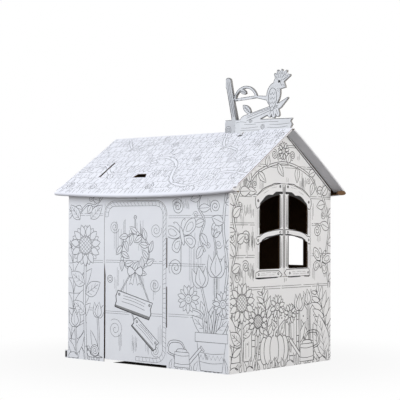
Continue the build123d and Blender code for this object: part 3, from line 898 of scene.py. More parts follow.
def pumpkin(d, at, width, pen=1.7):
    """A ribbed pumpkin; at is the middle of its foot."""
    x, z = at
    tall = width * 0.68
    stem = [(x, z + tall * 0.92), (x + width * 0.03, z + tall * 1.1), (x + width * 0.12, z + tall * 1.2)]
    stalk(d, stem, width * 0.08, pen)
    for off, half in ((0.0, 0.16), (0.2, 0.17), (-0.2, 0.17), (0.36, 0.15), (-0.36, 0.15)):
        squash = tall * 0.5 * (1 - 0.35 * abs(off)) / (half * width)
        d.shape(ring((x + off * width, z + tall * 0.5), half * width, squash=squash), pen)


print("pot, watering can and pumpkin")

# %% Fence, butterfly, snail and pebble
RAILS, RAIL_HALF = (0.32, 0.75), 13


def fence(d, start, end, foot, top, picket=56, gap=24, pen=1.7):
    """Pickets with pointed tops, two rails and a little wood grain."""
    tall, half = top - foot, picket / 2
    for k in range(int((end - start) / (picket + gap)) + 1):
        x = start + k * (picket + gap)
        for level in RAILS:
            d.line(ring((x + half, foot + tall * level), 3.2, parts=8), pen * 0.8)
        for line in (0.3, 0.66):
            low = d.luck.uniform(0.05, 0.4)
            high = low + d.luck.uniform(0.15, 0.4)
            at = x + picket * line
            d.line([(at, foot + tall * low), (at, foot + tall * high)], pen * 0.55)
        end_x = x + picket
        d.shape([(x, foot), (end_x, foot), (end_x, top - half), (x + half, top), (x, top - half)], pen)
    for level in RAILS:
        z = foot + tall * level
        d.shape(box(start - gap, z - RAIL_HALF, end + gap, z + RAIL_HALF), pen)


BUTTERFLY_WINGS = ([(0.05, 0.06), (0.3, 0.38), (0.62, 0.42), (0.6, 0.14), (0.3, -0.02)],
                   [(0.05, -0.05), (0.36, -0.08), (0.5, -0.3), (0.3, -0.46), (0.1, -0.24)])


def butterfly(d, at, size, angle=0.0, pen=1.6):
    """A butterfly from above."""
    d.shape(put(ring((0, 0), 0.07, squash=4.2), at, angle, size), pen)
    for side in (1, -1):
        feeler = flow([(0.02 * side, 0.3), (0.12 * side, 0.46), (0.24 * side, 0.5), (0.22 * side, 0.43)])
        d.line(put(feeler, at, angle, size), pen * 0.8)
        for scale in (0.55, 1.0):
            for outline in BUTTERFLY_WINGS:
                middle = Vector(sum(values) / len(outline) for values in zip(*outline))
                grown = [middle + (Vector(p) - middle) * scale for p in outline]
                points = put(flow([(p.x * side, p.y) for p in grown], closed=True), at, angle, size)
                if scale < 1:
                    d.line(points, pen * 0.7)
                else:
                    d.shape(points, pen)


def snail(d, at, size, flip=1, pen=1.7):
    """A snail's shell and foot; at is the middle of its foot."""
    def p(points):
        return [(at[0] + flip * size * x, at[1] + size * y) for x, y in points]
    middle = p([(0, 0.42)])[0]
    spiral(d, middle, size * 0.36, 2.4, 200, pen * 0.8)
    d.shape(ring(middle, size * 0.38), pen)
    for lean in (0.62, 0.76):
        d.line(p([(0.6, 0.36), (lean + 0.04, 0.62)]), pen * 0.8)
        d.line(ring(p([(lean + 0.05, 0.65)])[0], size * 0.035, parts=8), pen * 0.8)
    d.shape(p(flow([(-0.68, 0.02), (-0.3, 0.12), (0.3, 0.12), (0.48, 0.36), (0.66, 0.42), (0.72, 0.26),
                    (0.56, 0.02), (0.0, -0.01)], closed=True)), pen)


def pebble(d, at, width, pen=1.5):
    """A round stone on the ground with two shading ticks."""
    x, z = at
    for k in (0.1, 0.2):
        d.line(ring((x, z), width * (0.5 - k * 0.6), 20, 70, 6, 0.6), pen * 0.6)
    half = width / 2
    d.shape(ring((x, z), half, 0, 180, 16, 0.62) + [(x - half, z - 8), (x + half, z - 8)], pen)


print("fence, butterfly, snail and pebble")

# %% [markdown]
# Behind the plants the walls are drawn as boards: double lines for the joints, and groups of upright
# strokes for the grain. Boards that frame the window are held with printed nails.

# %% Boards, grain and nails


def board_joint(d, start, end, level, pen=0.9):
    """A double line across the wall, with a break here and there."""
    for off in (0.0, -9.0):
        x = start
        while x < end:
            stop = min(end, x + d.luck.uniform(90, 230))
            d.line([(x, level + off), (stop, level + off + d.luck.uniform(-1, 1))], pen)
            x = stop + d.luck.uniform(4, 16)


def grain(d, start, end, low, high, groups, pen=0.8):
    """Groups of upright grain strokes."""
    for _ in range(groups):
        x = d.luck.uniform(start, end)
        tall = d.luck.uniform(0.45, 0.95) * (high - low)
        foot = d.luck.uniform(low, high - tall)
        for _ in range(d.luck.randint(2, 4)):
            x += d.luck.uniform(5, 11)
            up = foot + d.luck.uniform(0.0, 0.3) * tall
            d.line([(x, up), (x + d.luck.uniform(-1.5, 1.5), up + tall * d.luck.uniform(0.4, 0.7))], pen)


def nail(d, at, radius=4.5, pen=1.8):
    """A nail head with a notch."""
    x, z = at
    d.line([(x - radius * 0.6, z - radius * 0.3), (x + radius * 0.6, z + radius * 0.3)], pen * 0.7)
    d.shape(ring(at, radius, parts=14), pen)


def vine(d, path, width, leaves, size, pen=1.5):
    """A climbing stem with leaves on alternate sides and a curl here and there."""
    middle = flow(path)
    last = len(middle) - 1
    for k in range(leaves):
        step = int((k + 0.5) * last / leaves)
        place = middle[step]
        ahead = middle[min(step + 1, last)] - place
        angle = math.degrees(math.atan2(ahead.y, ahead.x))
        side = 1 if k % 2 else -1
        spread = side * d.luck.uniform(48, 78)
        leaf(d, place, angle + spread, size * d.luck.uniform(0.8, 1.15), size * 0.55, 0, 0, pen)
        if k % 3 == 1:
            curl = put([(size * 0.5, 0)], place, angle - side * 60)[0]
            spiral(d, curl, size * 0.26, 1.7, angle, pen * 0.75)
    stalk(d, path, width, pen)


print("board joints, grain, nails and vines")

# %% [markdown]
# The front wall. The door's own drawing comes first and is then covered as a whole, so that the plants
# on both sides pass behind its edge. The border of small bricks runs along the top, the hinge side and
# the lower corner of the door, as a pair of lines that follow the cut with a joint every brick.

# %% Front wall: lines along the door's edge
WALL_BORDER = box(-476, 3, 476, 752)
front = Drawing("front", WALL_BORDER, 1.3)
DOOR_LEFT, DOOR_RIGHT, DOOR_TOP, DOOR_FOOT, DOOR_ROUND = -242, 135, 719, 14, 62


def door_line(inset):
    """A line along the door's top, hinge side and lower corner, this far inside the cut."""
    bend = DOOR_ROUND - inset
    top = DOOR_TOP - DOOR_ROUND
    low = DOOR_FOOT + DOOR_ROUND
    right = DOOR_RIGHT - DOOR_ROUND
    line = [Vector((DOOR_LEFT + inset, top - 8))]
    line += ring((DOOR_LEFT + DOOR_ROUND, top), bend, 180, 90, 8)
    line += ring((right, top), bend, 90, 0, 8)
    line += ring((right, low), bend, 0, -90, 8)
    return line + [Vector((right - 120, DOOR_FOOT + inset))]


def evenly(line, count):
    """A line cut into equal steps."""
    dense = spaced(line, 1.0)
    run = np.concatenate([[0], np.cumsum(np.linalg.norm(np.diff(dense, axis=0), axis=1))])
    marks = np.linspace(0, run[-1], count)
    return [Vector((np.interp(m, run, dense[:, 0]), np.interp(m, run, dense[:, 1]))) for m in marks]


print("the door's border is", round(run_length(spaced(door_line(5), 1.0))), "mm long")

# %% Front wall: a wreath and hanging planks


def wreath(d, at, radius, leaves=18, pen=1.8):
    """A ring of leaves with berries and a bow at its foot."""
    x, low = at[0], at[1] - radius
    for side in (1, -1):
        d.shape(flow([(x, low), (x + 34 * side, low + 22), (x + 46 * side, low), (x + 32 * side, low - 18)],
                     closed=True), pen)
        d.shape([(x, low), (x + 14 * side, low - 6), (x + 36 * side, low - 58), (x + 24 * side, low - 50),
                 (x + 14 * side, low - 60)], pen)
    for k in range(leaves):
        a = 360 * k / leaves
        spot = ring(at, radius, a, a + 1, 1)[0]
        if k % 3 == 1:
            d.shape(ring(spot, 8.5, parts=14), pen * 0.9)
        leaf(d, spot, a + 90 + (42 if k % 2 else -42) + 20, 56, 26, 0, 0, pen * 0.9)
    d.line(ring(at, radius + 3), pen * 0.8)
    d.line(ring(at, radius - 4), pen * 0.8)


def hung_plank(d, at, length, height, angle, pen=3.4):
    """A blank wooden board with uneven ends, nails, a little grain and a shaded foot."""
    half, tall = length / 2, height / 2
    for off in (-half + 14, half - 14):
        nail(d, put([(off, tall - 14)], at, angle)[0], 5, pen * 0.6)
    for level in (-0.12, 0.3, 0.62):
        reach = half * d.luck.uniform(0.45, 0.8)
        grain_line = flow([(-reach, level * tall), (0, level * tall + 3), (reach, level * tall - 1)])
        d.line(put(grain_line, at, angle), pen * 0.35)
    foot = [(-half + 2, -tall + 1), (half - 5, -tall - 1), (half - 3, -tall * 0.68),
            (-half + 4, -tall * 0.74)]
    d.tone(put(foot, at, angle), "middle grey")
    outline = [(-half, -tall), (half - 4, -tall - 2), (half + 3, -tall * 0.3), (half - 5, tall * 0.2),
               (half + 1, tall), (-half + 3, tall + 1), (-half - 4, tall * 0.3), (-half + 4, -tall * 0.3)]
    d.shape(put(outline, at, angle), pen)


wreath(front, (-52, 492), 84)
hung_plank(front, (-62, 262), 216, 74, -13)
hung_plank(front, (8, 138), 168, 50, -38, 3.0)
CORDS = (((-140, 318), (-80, 396)), ((30, 280), (-28, 396)), ((-70, 225), (-50, 178)),
         ((-52, 576), (-52, 640)))
for cord in CORDS:
    stalk(front, cord, 5, 1.4)
nail(front, (-52, 646), 8)
print("wreath and planks:", round(front.length(), 1), "m of line")

# %% Front wall: the door
BRICKS = 58
for radius in (8, 16):
    front.line(ring((-206, 372), radius), 1.6)
brick_out, brick_in = (evenly(door_line(inset), BRICKS) for inset in (5, 23))
for a, b in zip(brick_out, brick_in):
    front.line([a, b], 0.8)
front.line(brick_out, 0.9)
front.line(brick_in, 1.2)
front.cover(brick_out + brick_in[::-1])
for place, size in (((72, 590), 34), ((-178, 604), 30), ((66, 352), 32), ((-172, 150), 46), ((70, 68), 26)):
    spiral(front, place, size, 2.2, size * 9, 1.1)
for level in (455, 228):
    board_joint(front, -234, 110, level)
for low, high, groups in ((470, 690, 6), (240, 440, 5), (30, 215, 5)):
    grain(front, -230, 90, low, high, groups)
free_edge = DOOR_LEFT - 4
front.cover(door_line(-4)[::-1] + [(free_edge, DOOR_TOP - 130), (free_edge, 0), (DOOR_RIGHT + 4, 0)])
print("door drawn:", round(front.length(), 1), "m of line")

# %% [markdown]
# On the left of the door stands a tall sunflower with a fern behind it, and tulips and a snail at its
# foot. On the right a watering can and a potted bunch of flowers fill the lower half, and vines hang from
# above. The small dark patch at the far left is a dark tone laid over the sheet's own locking tongue.

# %% Front wall: the plants beside the door
POT_X = 384


def plant(d, *motifs):
    """Draw motifs in the order given, the nearest first; each is a function with its values."""
    for motif, *values in motifs:
        motif(d, *values)


# A dark tone over the locking tongue at the far left.
front.tone(box(-494, 4, -481.5, 33), "dark grey")
plant(front,
      (snail, (-300, 16), 70, -1), (pebble, (-440, 12), 60),
      (tulip, (-428, 148), 78, 6), (stalk, [(-428, 150), (-422, 80), (-424, 4)], 9),
      (leaf, (-424, 20), 62, 122, 34, None), (leaf, (-426, 10), 122, 96, 30, None),
      (tulip, (-283, 196), 70, -8), (stalk, [(-283, 198), (-276, 110), (-280, 4)], 9),
      (leaf, (-280, 20), 112, 126, 32, None), (sunflower, (-364, 520), 96),
      (leaf, (-366, 344), 158, 104, 62, 3, 0.15), (leaf, (-362, 300), 24, 108, 64, 3, -0.1),
      (leaf, (-360, 210), 150, 96, 56, 3, 0.1), (stalk, [(-364, 440), (-368, 250), (-356, 4)], 14),
      (grass, -476, -250, 3, 88, 8), (fern, (-462, 20), 84, 560, 26),
      (leaf, (-330, 640), 40, 96, 50), (leaf, (-400, 636), 132, 92, 48),
      (vine, [(-250, 746), (-300, 700), (-350, 705), (-420, 660), (-470, 690)], 9, 4, 58),
      (watering_can, (222, 10), 104), (pot, (POT_X, 5), 176, 158),
      (tulip, (330, 352), 92, 10), (tulip, (408, 396), 100, -2),
      (daisy, (258, 300), 62, 7, 10), (daisy, (446, 286), 56, 7, 25))
for x, z in ((330, 354), (408, 398), (270, 262), (446, 246)):
    stalk(front, [(x, z), ((x + POT_X) / 2 + 6, 240), (POT_X + (x - POT_X) * 0.3, 160)], 9)
for angle, reach in ((150, 130), (118, 150), (66, 150), (32, 120), (92, 120)):
    leaf(front, (POT_X, 156), angle, reach, 56, 3, 0.1 if angle > 90 else -0.1)
plant(front,
      (grass, 140, 476, 3, 74, 11), (butterfly, (222, 566), 136, 14),
      (vine, [(474, 150), (456, 300), (470, 440), (448, 600), (464, 748)], 11, 7, 78),
      (vine, [(330, 750), (312, 690), (346, 630), (322, 560), (350, 500)], 8, 5, 62),
      (bud, (398, 560), 66, 70), (stalk, [(398, 560), (410, 500), (408, 440)], 7),
      (spiral, (196, 690), 36, 2.3, 40), (spiral, (404, 690), 30, 2.2, 160),
      (spiral, (186, 430), 40, 2.3, 110))
for start, end, levels in ((-474, -250, (664, 452, 236)), (144, 474, (652, 448, 232))):
    for level in levels:
        board_joint(front, start, end, level)
plant(front, (grain, -470, -260, 470, 650, 3), (grain, -470, 470, 672, 748, 12),
      (grain, 150, 460, 250, 640, 6))
print("front wall:", round(front.length(), 1), "m of line in", len(front.lines), "strokes")

# %% [markdown]
# The gable with the window. The printed boards follow the cut-outs: two head boards over the arch with a
# scalloped lower edge, a rail across the middle and two sills, all held with nails, and stiles between
# them. A dark tone under the scallops and grey streaks along the stiles give the boards their depth.
# The points are given for the right-hand half of the window and mirrored for the left.

# %% Window gable: the printed window boards
gable = Drawing("gable", [(-366, 3), (366, 3), (366, 770), (4, 1021), (-4, 1021), (-366, 770)], 1.9)
WINDOW_Y = 8
PANE_HALF, PANE_SIDE, PANE_CROWN = 174, 698, 745


def arch_line(half, side, crown, start, end):
    """Part of an arch over the window, from one distance off its middle to another."""
    rise = crown - side
    radius = (half ** 2 + rise ** 2) / (2 * rise)
    steps = [start + (end - start) * k / 24 for k in range(25)]
    return [Vector((s, crown - radius + math.sqrt(radius ** 2 - s ** 2))) for s in steps]


def beside(points, side):
    """Points given from the middle of the window, on one side of it."""
    return [Vector((WINDOW_Y + side * x, z)) for x, z in points]


HEAD_OUTSIDE = [(9, 789), (25, 793), (68, 792), (88, 786), (118, 778), (149, 767), (176, 750), (196, 734),
                (203, 723), (203, 704), (197, 690), (189, 684), (180, 687), (172, 695)]
HEAD_SCALLOPS = [(172, 697), (168, 707), (153, 718), (136, 732), (117, 740.5), (98, 742), (82, 742),
                 (73, 747), (57, 755), (33, 756.5), (9, 757)]
RAIL_TOP = [(9, 594), (38, 593), (81, 589.5), (122, 584), (154, 575), (172, 565)]
RAIL_END = [(172, 565), (192, 562), (199, 550), (196, 535), (186, 530), (172, 538)]
RAIL_FOOT = [(172, 538), (152, 548), (130, 556.5), (106, 561), (72, 565), (39, 570), (9, 570)]
SILLS = {1: [(2, 406), (18, 391), (59, 389), (138, 391), (189, 389), (193, 404), (185, 423), (18, 421)],
         -1: [(13, 400), (27, 391), (118, 389), (180, 388), (202, 390), (200, 411), (176, 419), (39, 417)]}
for side in (1, -1):
    for place in ((184, 716), (28, 780.5)):
        nail(gable, beside([place], side)[0], 4.6, 1.9)
    gable.line(beside([(52, 778), (96, 772)], side), 0.5)
    gable.line(beside([(110, 762), (146, 747)], side), 0.5)
    scallops = flow(HEAD_SCALLOPS, parts=3)
    pane_arch = arch_line(PANE_HALF, PANE_SIDE - 0.4, PANE_CROWN - 0.4, 34, 173)
    gable.tone(beside(scallops[2:] + [(9, 748), (34, 748)] + pane_arch[:-1], side), "dark grey")
    gable.shape(beside(flow(HEAD_OUTSIDE, parts=4) + scallops[1:], side), 1.9)
for side in (1, -1):
    for place in ((184, 548), (28, 582)):
        nail(gable, beside([place], side)[0], 4.2, 1.7)
    rail_foot = flow(RAIL_FOOT, parts=3)
    under = [(x, z + 4.5) for x, z in rail_foot[::-1]]
    gable.tone(beside(rail_foot[2:] + under[:-2], side), "dark grey")
    gable.shape(beside(flow(RAIL_TOP, parts=3) + flow(RAIL_END, parts=4)[1:] + rail_foot[1:], side), 1.7)
for side in (1, -1):
    for place in ((180, 404), (42, 404)):
        nail(gable, beside([place], side)[0], 4.2, 1.7)
    for start, end, level in ((58, 84, 409), (92, 130, 410), (136, 162, 409), (66, 112, 400),
                              (120, 168, 401)):
        gable.line(beside([(start, level), (end, level)], side), 0.5)
    sill = SILLS[side]
    gable.line(beside([(x, z - 1.5) for x, z in sill[1:5]], side), 2.8)
    gable.shape(beside(sill, side), 1.7)
for side in (1, -1):
    for low, high in ((428, 566), (600, 744)):
        gable.tone(beside([(24, low), (32.5, low), (32.5, high), (26, high)], side), "middle grey")
        gable.tone(beside([(14, low + 8), (18, low + 2), (17, high - 4), (15, high - 20)], side), "dark grey")
        gable.tone(beside([(4, low), (8, low), (8, high), (5, high)], side), "light grey")
        outer_stile = [(176, low + 4), (180, low), (180.5, high - 66), (176, high - 66)]
        gable.tone(beside(outer_stile, side), "middle grey")
    for off, low, high in ((32.8, 428, 746), (3.6, 428, 780), (176, 424, 530), (176, 568, 688),
                           (199, 424, 532), (199, 562, 690)):
        gable.line(beside([(off, low), (off, high)], side), 1.3)
    for off, low, high in ((189, 432, 525), (189, 572, 682), (22, 440, 540), (22, 615, 730)):
        gable.line(beside([(off, low), (off + 0.8, high)], side), 0.5)
window_outside = arch_line(207, 726, 800, -207, 207) + [(207, 384), (-207, 384)]
gable.cover(beside(window_outside, 1))
print("window boards:", round(gable.length(), 1), "m of line and", len(gable.tones), "tones")

# %% [markdown]
# Below the window lies the busiest corner of the print: a pumpkin, a watering can, sunflowers and large
# leaves in front of a picket fence. Two vines climb past the window and meet over it in a garland.

# %% Window gable: the garden below and the vines beside
# A heavy dark line along the rear rake, where the roof's hem overhangs the gable, is painted shade for the
# gap between them.
gable.line([(5, 1017), (364, 768.5)], 2.4)
plant(gable,
      (pebble, (-338, 8), 56), (pebble, (-232, 8), 46), (pebble, (52, 8), 58), (pebble, (300, 8), 50),
      (grass, -120, 40, 3, 46, 9), (pumpkin, (-62, 12), 196), (watering_can, (178, 12), 124, -1),
      (grass, -366, 366, 3, 66, 26), (sunflower, (-286, 288), 86, 1.5), (sunflower, (-176, 206), 66, 1.5))
for head, foot in (((-286, 212), (-296, 4)), ((-176, 150), (-196, 4))):
    stalk(gable, [head, ((head[0] + foot[0]) / 2 + 8, head[1] * 0.5), foot], 12)
plant(gable, (leaf, (-286, 150), 28, 92, 52, 3, -0.1), (leaf, (-290, 120), 150, 88, 50, 3, 0.1),
      (leaf, (-190, 70), 40, 80, 44))
for angle, reach in ((96, 210), (124, 190), (66, 160), (148, 150), (46, 120)):
    leaf(gable, (318, 8), angle, reach, reach * 0.46, 4, 0.12 if angle > 96 else -0.12)
plant(gable, (daisy, (-40, 262), 54, 8, 15), (daisy, (52, 226), 48, 8, 30),
      (tulip, (118, 238), 76, -6), (tulip, (190, 262), 70, 8))
for x, z in ((-40, 216), (52, 186), (118, 240), (190, 264)):
    stalk(gable, [(x, z), (x + 6, z * 0.5), (x - 4, 60)], 9)
plant(gable,
      (leaf, (116, 90), 62, 110, 32, None), (leaf, (190, 90), 118, 120, 34, None),
      (leaf, (-30, 130), 60, 84, 38, 2), (leaf, (-36, 150), 128, 76, 34, 2),
      (fern, (356, 40), 104, 330, 30), (fern, (-362, 30), 74, 330, -28), (fern, (-100, 110), 98, 250, 24, 7),
      (fence, -356, 352, 44, 268), (butterfly, (290, 452), 110, -14),
      (vine, [(-338, 300), (-352, 420), (-318, 540), (-346, 660), (-290, 772)], 12, 9, 76),
      (vine, [(350, 330), (330, 480), (352, 600), (322, 700), (286, 770)], 12, 7, 74),
      (vine, [(-262, 752), (-176, 838), (8, 884), (192, 838), (268, 752)], 10, 10, 62),
      (daisy, (4, 936), 42, 8, 12), (spiral, (-62, 918), 22, 2.2, 30), (spiral, (70, 918), 22, 2.2, 200),
      (spiral, (-258, 560), 32, 2.3, 90), (spiral, (-262, 440), 26, 2.3, 30),
      (spiral, (258, 590), 30, 2.3, 10))
for level in (962, 872, 742, 622, 486, 350):
    board_joint(gable, -364, 364, level, 1.0)
for low, high, groups in ((880, 955, 6), (750, 860, 10), (630, 735, 10), (495, 615, 10), (360, 480, 10)):
    grain(gable, -360, 350, low, high, groups)
    grain(gable, -362, -225, low, high, groups // 2, 0.9)
for low, high in ((330, 470), (460, 600), (590, 730)):
    grain(gable, -366, -262, low, high, 3, 0.75)
print("window gable:", round(gable.length(), 1), "m of line in", len(gable.lines), "strokes")

# %% [markdown]
# The two sides that the photograph doesn't show are printed in the same manner: boards behind, a bed of
# flowers along the foot, and a plain frame of boards round the small window.

# %% Back wall
back = Drawing("back", WALL_BORDER, 1.5)
HATCH_LEFT, HATCH_RIGHT, HATCH_LOW, HATCH_HIGH = -326, -205, 429, 565
for level, height in ((HATCH_HIGH + 3, 27), (HATCH_LOW - 32, 29)):
    for x in (HATCH_LEFT - 22, HATCH_RIGHT + 22):
        nail(back, (x, (level + level + height) / 2), 4.5, 1.2)
    back.shape(box(HATCH_LEFT - 34, level, HATCH_RIGHT + 34, level + height), 1.7)
for left, right in ((HATCH_LEFT - 26, HATCH_LEFT - 3), (HATCH_RIGHT + 3, HATCH_RIGHT + 26)):
    back.shape(box(left, HATCH_LOW, right, HATCH_HIGH), 1.7)
back.cover(box(HATCH_LEFT, HATCH_LOW, HATCH_RIGHT, HATCH_HIGH))
pot(back, (-268, 5), 150, 140)
for angle in (140, 112, 90, 68, 40):
    leaf(back, (-268, 140), angle, 130, 50)
for x, z, size in ((-20, 430, 96), (390, 380, 84), (130, 300, 74)):
    plant(back, (sunflower, (x, z), size), (stalk, [(x, z - size + 8), (x + 6, z * 0.5), (x - 4, 4)], 12),
          (leaf, (x + 2, z * 0.55), 28, 104, 58, 3, -0.1), (leaf, (x + 2, z * 0.42), 152, 100, 56, 3, 0.1))
for x, z in ((-430, 190), (-390, 250), (-130, 220), (230, 210), (300, 170)):
    plant(back, (tulip, (x, z), 74, x % 13 - 6), (stalk, [(x, z + 2), (x + 5, z * 0.5), (x, 4)], 9),
          (leaf, (x, 16), 66 if x > 0 else 112, 116, 32, None))
plant(back,
      (grass, -476, 476, 3, 84, 34), (fern, (-462, 10), 82, 520, -22), (fern, (60, 10), 84, 460, -24),
      (fern, (250, 10), 98, 470, 24), (fern, (462, 10), 98, 540, 22),
      (fence, -470, 440, 40, 236), (butterfly, (170, 580), 130, 12),
      (vine, [(-476, 690), (-380, 660), (-250, 700), (-100, 655), (60, 705), (240, 660), (476, 700)],
       10, 16, 70),
      (spiral, (-60, 590), 36, 2.3), (spiral, (330, 590), 42, 2.3), (spiral, (-420, 560), 32, 2.3))
for level in (650, 448, 248):
    board_joint(back, -474, 474, level)
plant(back, (grain, -470, 460, 460, 640, 16), (grain, -470, 460, 260, 440, 10))
print("back wall:", round(back.length(), 1), "m of line")

# %% Plain gable
far_gable = Drawing("far gable", [(-366, 3), (366, 3), (366, 768), (4, 1018), (-4, 1018), (-366, 768)], 1.5)
plant(far_gable, (snail, (60, 14), 78), (pot, (-200, 5), 170, 150), (daisy, (-250, 330), 64, 8),
      (daisy, (-150, 370), 68, 8, 20))
for x, z in ((-250, 270), (-150, 306)):
    stalk(far_gable, [(x, z), (x * 0.6 - 80, 220), (-200, 150)], 9)
for angle in (150, 118, 88, 60, 30):
    leaf(far_gable, (-200, 150), angle, 128, 52)
plant(far_gable, (watering_can, (220, 10), 128), (grass, -366, 366, 3, 80, 26),
      (fern, (350, 8), 100, 460, 24), (fern, (-350, 8), 80, 460, -24))
for x in (-40, 90, 200):
    plant(far_gable, (tulip, (x, 230 + x * 0.2), 76), (stalk, [(x, 232 + x * 0.2), (x + 5, 120), (x, 4)], 9))
plant(far_gable,
      (fence, -356, 352, 40, 240), (butterfly, (180, 470), 132, -16),
      (vine, [(-10, 250), (-60, 380), (0, 520), (-50, 660), (0, 800), (-10, 930)], 12, 15, 82),
      (vine, [(330, 300), (300, 460), (340, 600), (290, 740)], 10, 7, 72),
      (vine, [(-330, 300), (-300, 460), (-340, 600), (-290, 740)], 10, 7, 72),
      (spiral, (-180, 560), 42, 2.3), (spiral, (190, 640), 36, 2.3), (spiral, (90, 860), 30, 2.3),
      (spiral, (-110, 820), 32, 2.3))
for level in (920, 796, 660, 520, 380, 262):
    board_joint(far_gable, -364, 364, level)
for low, high in ((800, 910), (670, 790), (530, 650), (390, 510), (270, 370)):
    grain(far_gable, -350, 340, low, high, 7)
print("plain gable:", round(far_gable.length(), 1), "m of line")

# %% [markdown]
# The roof is drawn as thatch: straw ends in uneven courses, with strokes that run down the slope, and a
# broad stem that winds over them. The lines are thinner and greyer here than on the walls. A slope is
# drawn with its ridge at 0 and its eave below, and the print stops just above the rounded eave. Two dark
# tones stand for shade: the lip where a foot tab of the ridge piece goes in, and one side of the slit.

# %% Thatch
EAVE = -SLOPE_END / MM + 10


def thatch(d, left, right, ridge, eave, course=46, pen=1.0):
    """Courses of straw: rounded ends side by side, and loose strokes up from them."""
    level = ridge - course * 0.7
    while level > eave - course:
        x = left + d.luck.uniform(-20, 0)
        while x < right:
            reach = d.luck.uniform(20, 44)
            drop = d.luck.uniform(4, 16)
            tall = course * d.luck.uniform(0.5, 0.95)
            d.line(flow([(x + d.luck.uniform(-3, 3), level + tall), (x + 2, level - drop * 0.2),
                         (x + reach * 0.5, level - drop), (x + reach - 3, level)]), pen)
            for _ in range(d.luck.randint(0, 2)):
                s = x + reach * d.luck.uniform(0.2, 0.8)
                up = level + d.luck.uniform(-2, course * 0.3)
                d.line([(s, up), (s + d.luck.uniform(-4, 4), up + d.luck.uniform(12, 34))], pen * 0.85)
            x += reach
        level -= course


print("the slope is printed for", round(-EAVE), "mm below the ridge")

# %% Both roof slopes
TAB_LIP, SLIT = (269, -46), [(-359, -236), (-355, -234), (-355, -358), (-359, -356)]
WINDING = [(-525, -300), (-400, -250), (-300, -330), (-180, -300), (-90, -200), (40, -250), (120, -400),
           (260, -440), (380, -350), (525, -380)]
UPPER_STEMS = [[(-420, -20), (-330, -110), (-240, -90), (-150, -30)],
               [(180, -20), (230, -120), (330, -170), (350, -260), (480, -250)]]
KNOTS = [(-480, -420), (-330, -440), (-20, -330), (150, -230), (500, -60), (-80, -90), (20, -440),
         (420, -120)]
slopes = []
for name, flip in (("front slope", 1), ("rear slope", -1)):
    slope = Drawing(name, [(-531, -8), (531, -8), (531, EAVE), (-531, EAVE)], 1.45)
    # A dark tone at the tab lip: painted shade.
    slope.tone(ring((flip * TAB_LIP[0], TAB_LIP[1]), 13, squash=0.4), "dark grey")
    for stem, width, leaves, size in [(WINDING, 17, 11, 52)] + [(stem, 12, 5, 46) for stem in UPPER_STEMS]:
        vine(slope, [(flip * x, v) for x, v in stem], width, leaves, size, 1.1)
    for x, v in KNOTS:
        spiral(slope, (flip * x, v), 24, 2.2, x, 1.0)
    thatch(slope, -528, 528, 0, EAVE)
    slopes.append(slope)
# A dark tone along one side of the slit: painted shade.
slopes[0].tone(SLIT, "dark grey")
print("each slope:", [round(s.length(), 1) for s in slopes], "m of line")

# %% [markdown]
# The ridge piece is a cut-out, so its print starts with a heavy line just inside the cut edge, which is
# found on the board itself: every edge where the white face meets a cut. Inside it go the grain of the
# log and the branches, the veins of the leaves, and a few feather lines on the perched bird.

# %% Ridge piece: the line along the cut
INSET = 1.6


def cut_outline(board, facing):
    """Lines along the cut edges of a board's face, a little inside them, in millimetres."""
    work = bmesh.new()
    work.from_mesh(board.data)
    ahead = {}
    for edge in work.edges:
        white = [f for f in edge.link_faces if f.material_index != CUT_SIDE and f.normal.dot(facing) > 0.9]
        cut = [f for f in edge.link_faces if f.material_index == CUT_SIDE]
        if len(white) == 1 and len(cut) == 1:
            loop = [each for each in edge.link_loops if each.face == white[0]][0]
            ahead[loop.vert.index] = loop.link_loop_next.vert.index
    flat = {v.index: Vector((v.co.x / MM, v.co.z / MM)) for v in work.verts}
    work.free()
    lines = []
    starts = [v for v in ahead if v not in set(ahead.values())] or list(ahead)[:1]
    while ahead:
        here = starts.pop() if starts else next(iter(ahead))
        chain = [flat[here]]
        while here in ahead:
            here = ahead.pop(here)
            chain.append(flat[here])
        runs = [heading(chain, k) for k in range(len(chain))]
        lines.append([point + INSET * Vector((-run.y, run.x)) for point, run in zip(chain, runs)])
    return lines


ridge = Drawing("ridge", box(150, 990, 540, 1300), 1.15)
for outline in cut_outline(ridge_board, Vector((0, -1, 0))):
    ridge.line(outline, 1.7)
print("ridge piece outline:", round(ridge.length(), 2), "m of line")

# %% Ridge piece: the bird
RIDGE_LEFT, RIDGE_FOOT = 158, 1035
WING = [(262, 178), (246, 150), (248, 112), (262, 78), (282, 104), (290, 138), (284, 168)]


def on_ridge(points):
    """Points given from the left end of the ridge piece and the roof's ridge."""
    return [Vector((RIDGE_LEFT + x, RIDGE_FOOT + z)) for x, z in points]


EYE = on_ridge([(303, 205)])[0]
for radius in (2.2, 5.5):
    ridge.line(ring(EYE, radius, parts=14), 1.3)
ridge.tone(ring(EYE, 4.6, parts=14), "dark grey")
ridge.line(flow(on_ridge([(316, 214), (311, 199), (318, 184)])), 1.5)
ridge.line(flow(on_ridge([(318, 193), (326, 188), (333, 180)])), 1.0)
for tip in FEATHER_TIPS:
    feather = tip - HEAD
    for off in (-2.5, 2.5):
        ridge.line(on_ridge([HEAD + feather * 0.36 + Vector((off, 0)), tip - feather * 0.16]), 0.8)
for level in (158, 138, 118, 100):
    barbs = [(252, level), (258, level - 9), (266, level), (273, level - 9), (282, level + 2)]
    ridge.line(flow(on_ridge(barbs)), 1.2)
ridge.shape(flow(on_ridge(WING), closed=True), 1.9)
for foot, tip in (((258, 84), (251, 62)), ((272, 78), (273, 58)), ((287, 84), (295, 62))):
    ridge.line(on_ridge([foot, tip]), 1.3)
for level in (176, 166):
    ridge.line(flow(on_ridge([(292, level), (300, level - 5), (306, level + 1)])), 1.1)
print("bird:", round(ridge.length(), 2), "m of line so far")

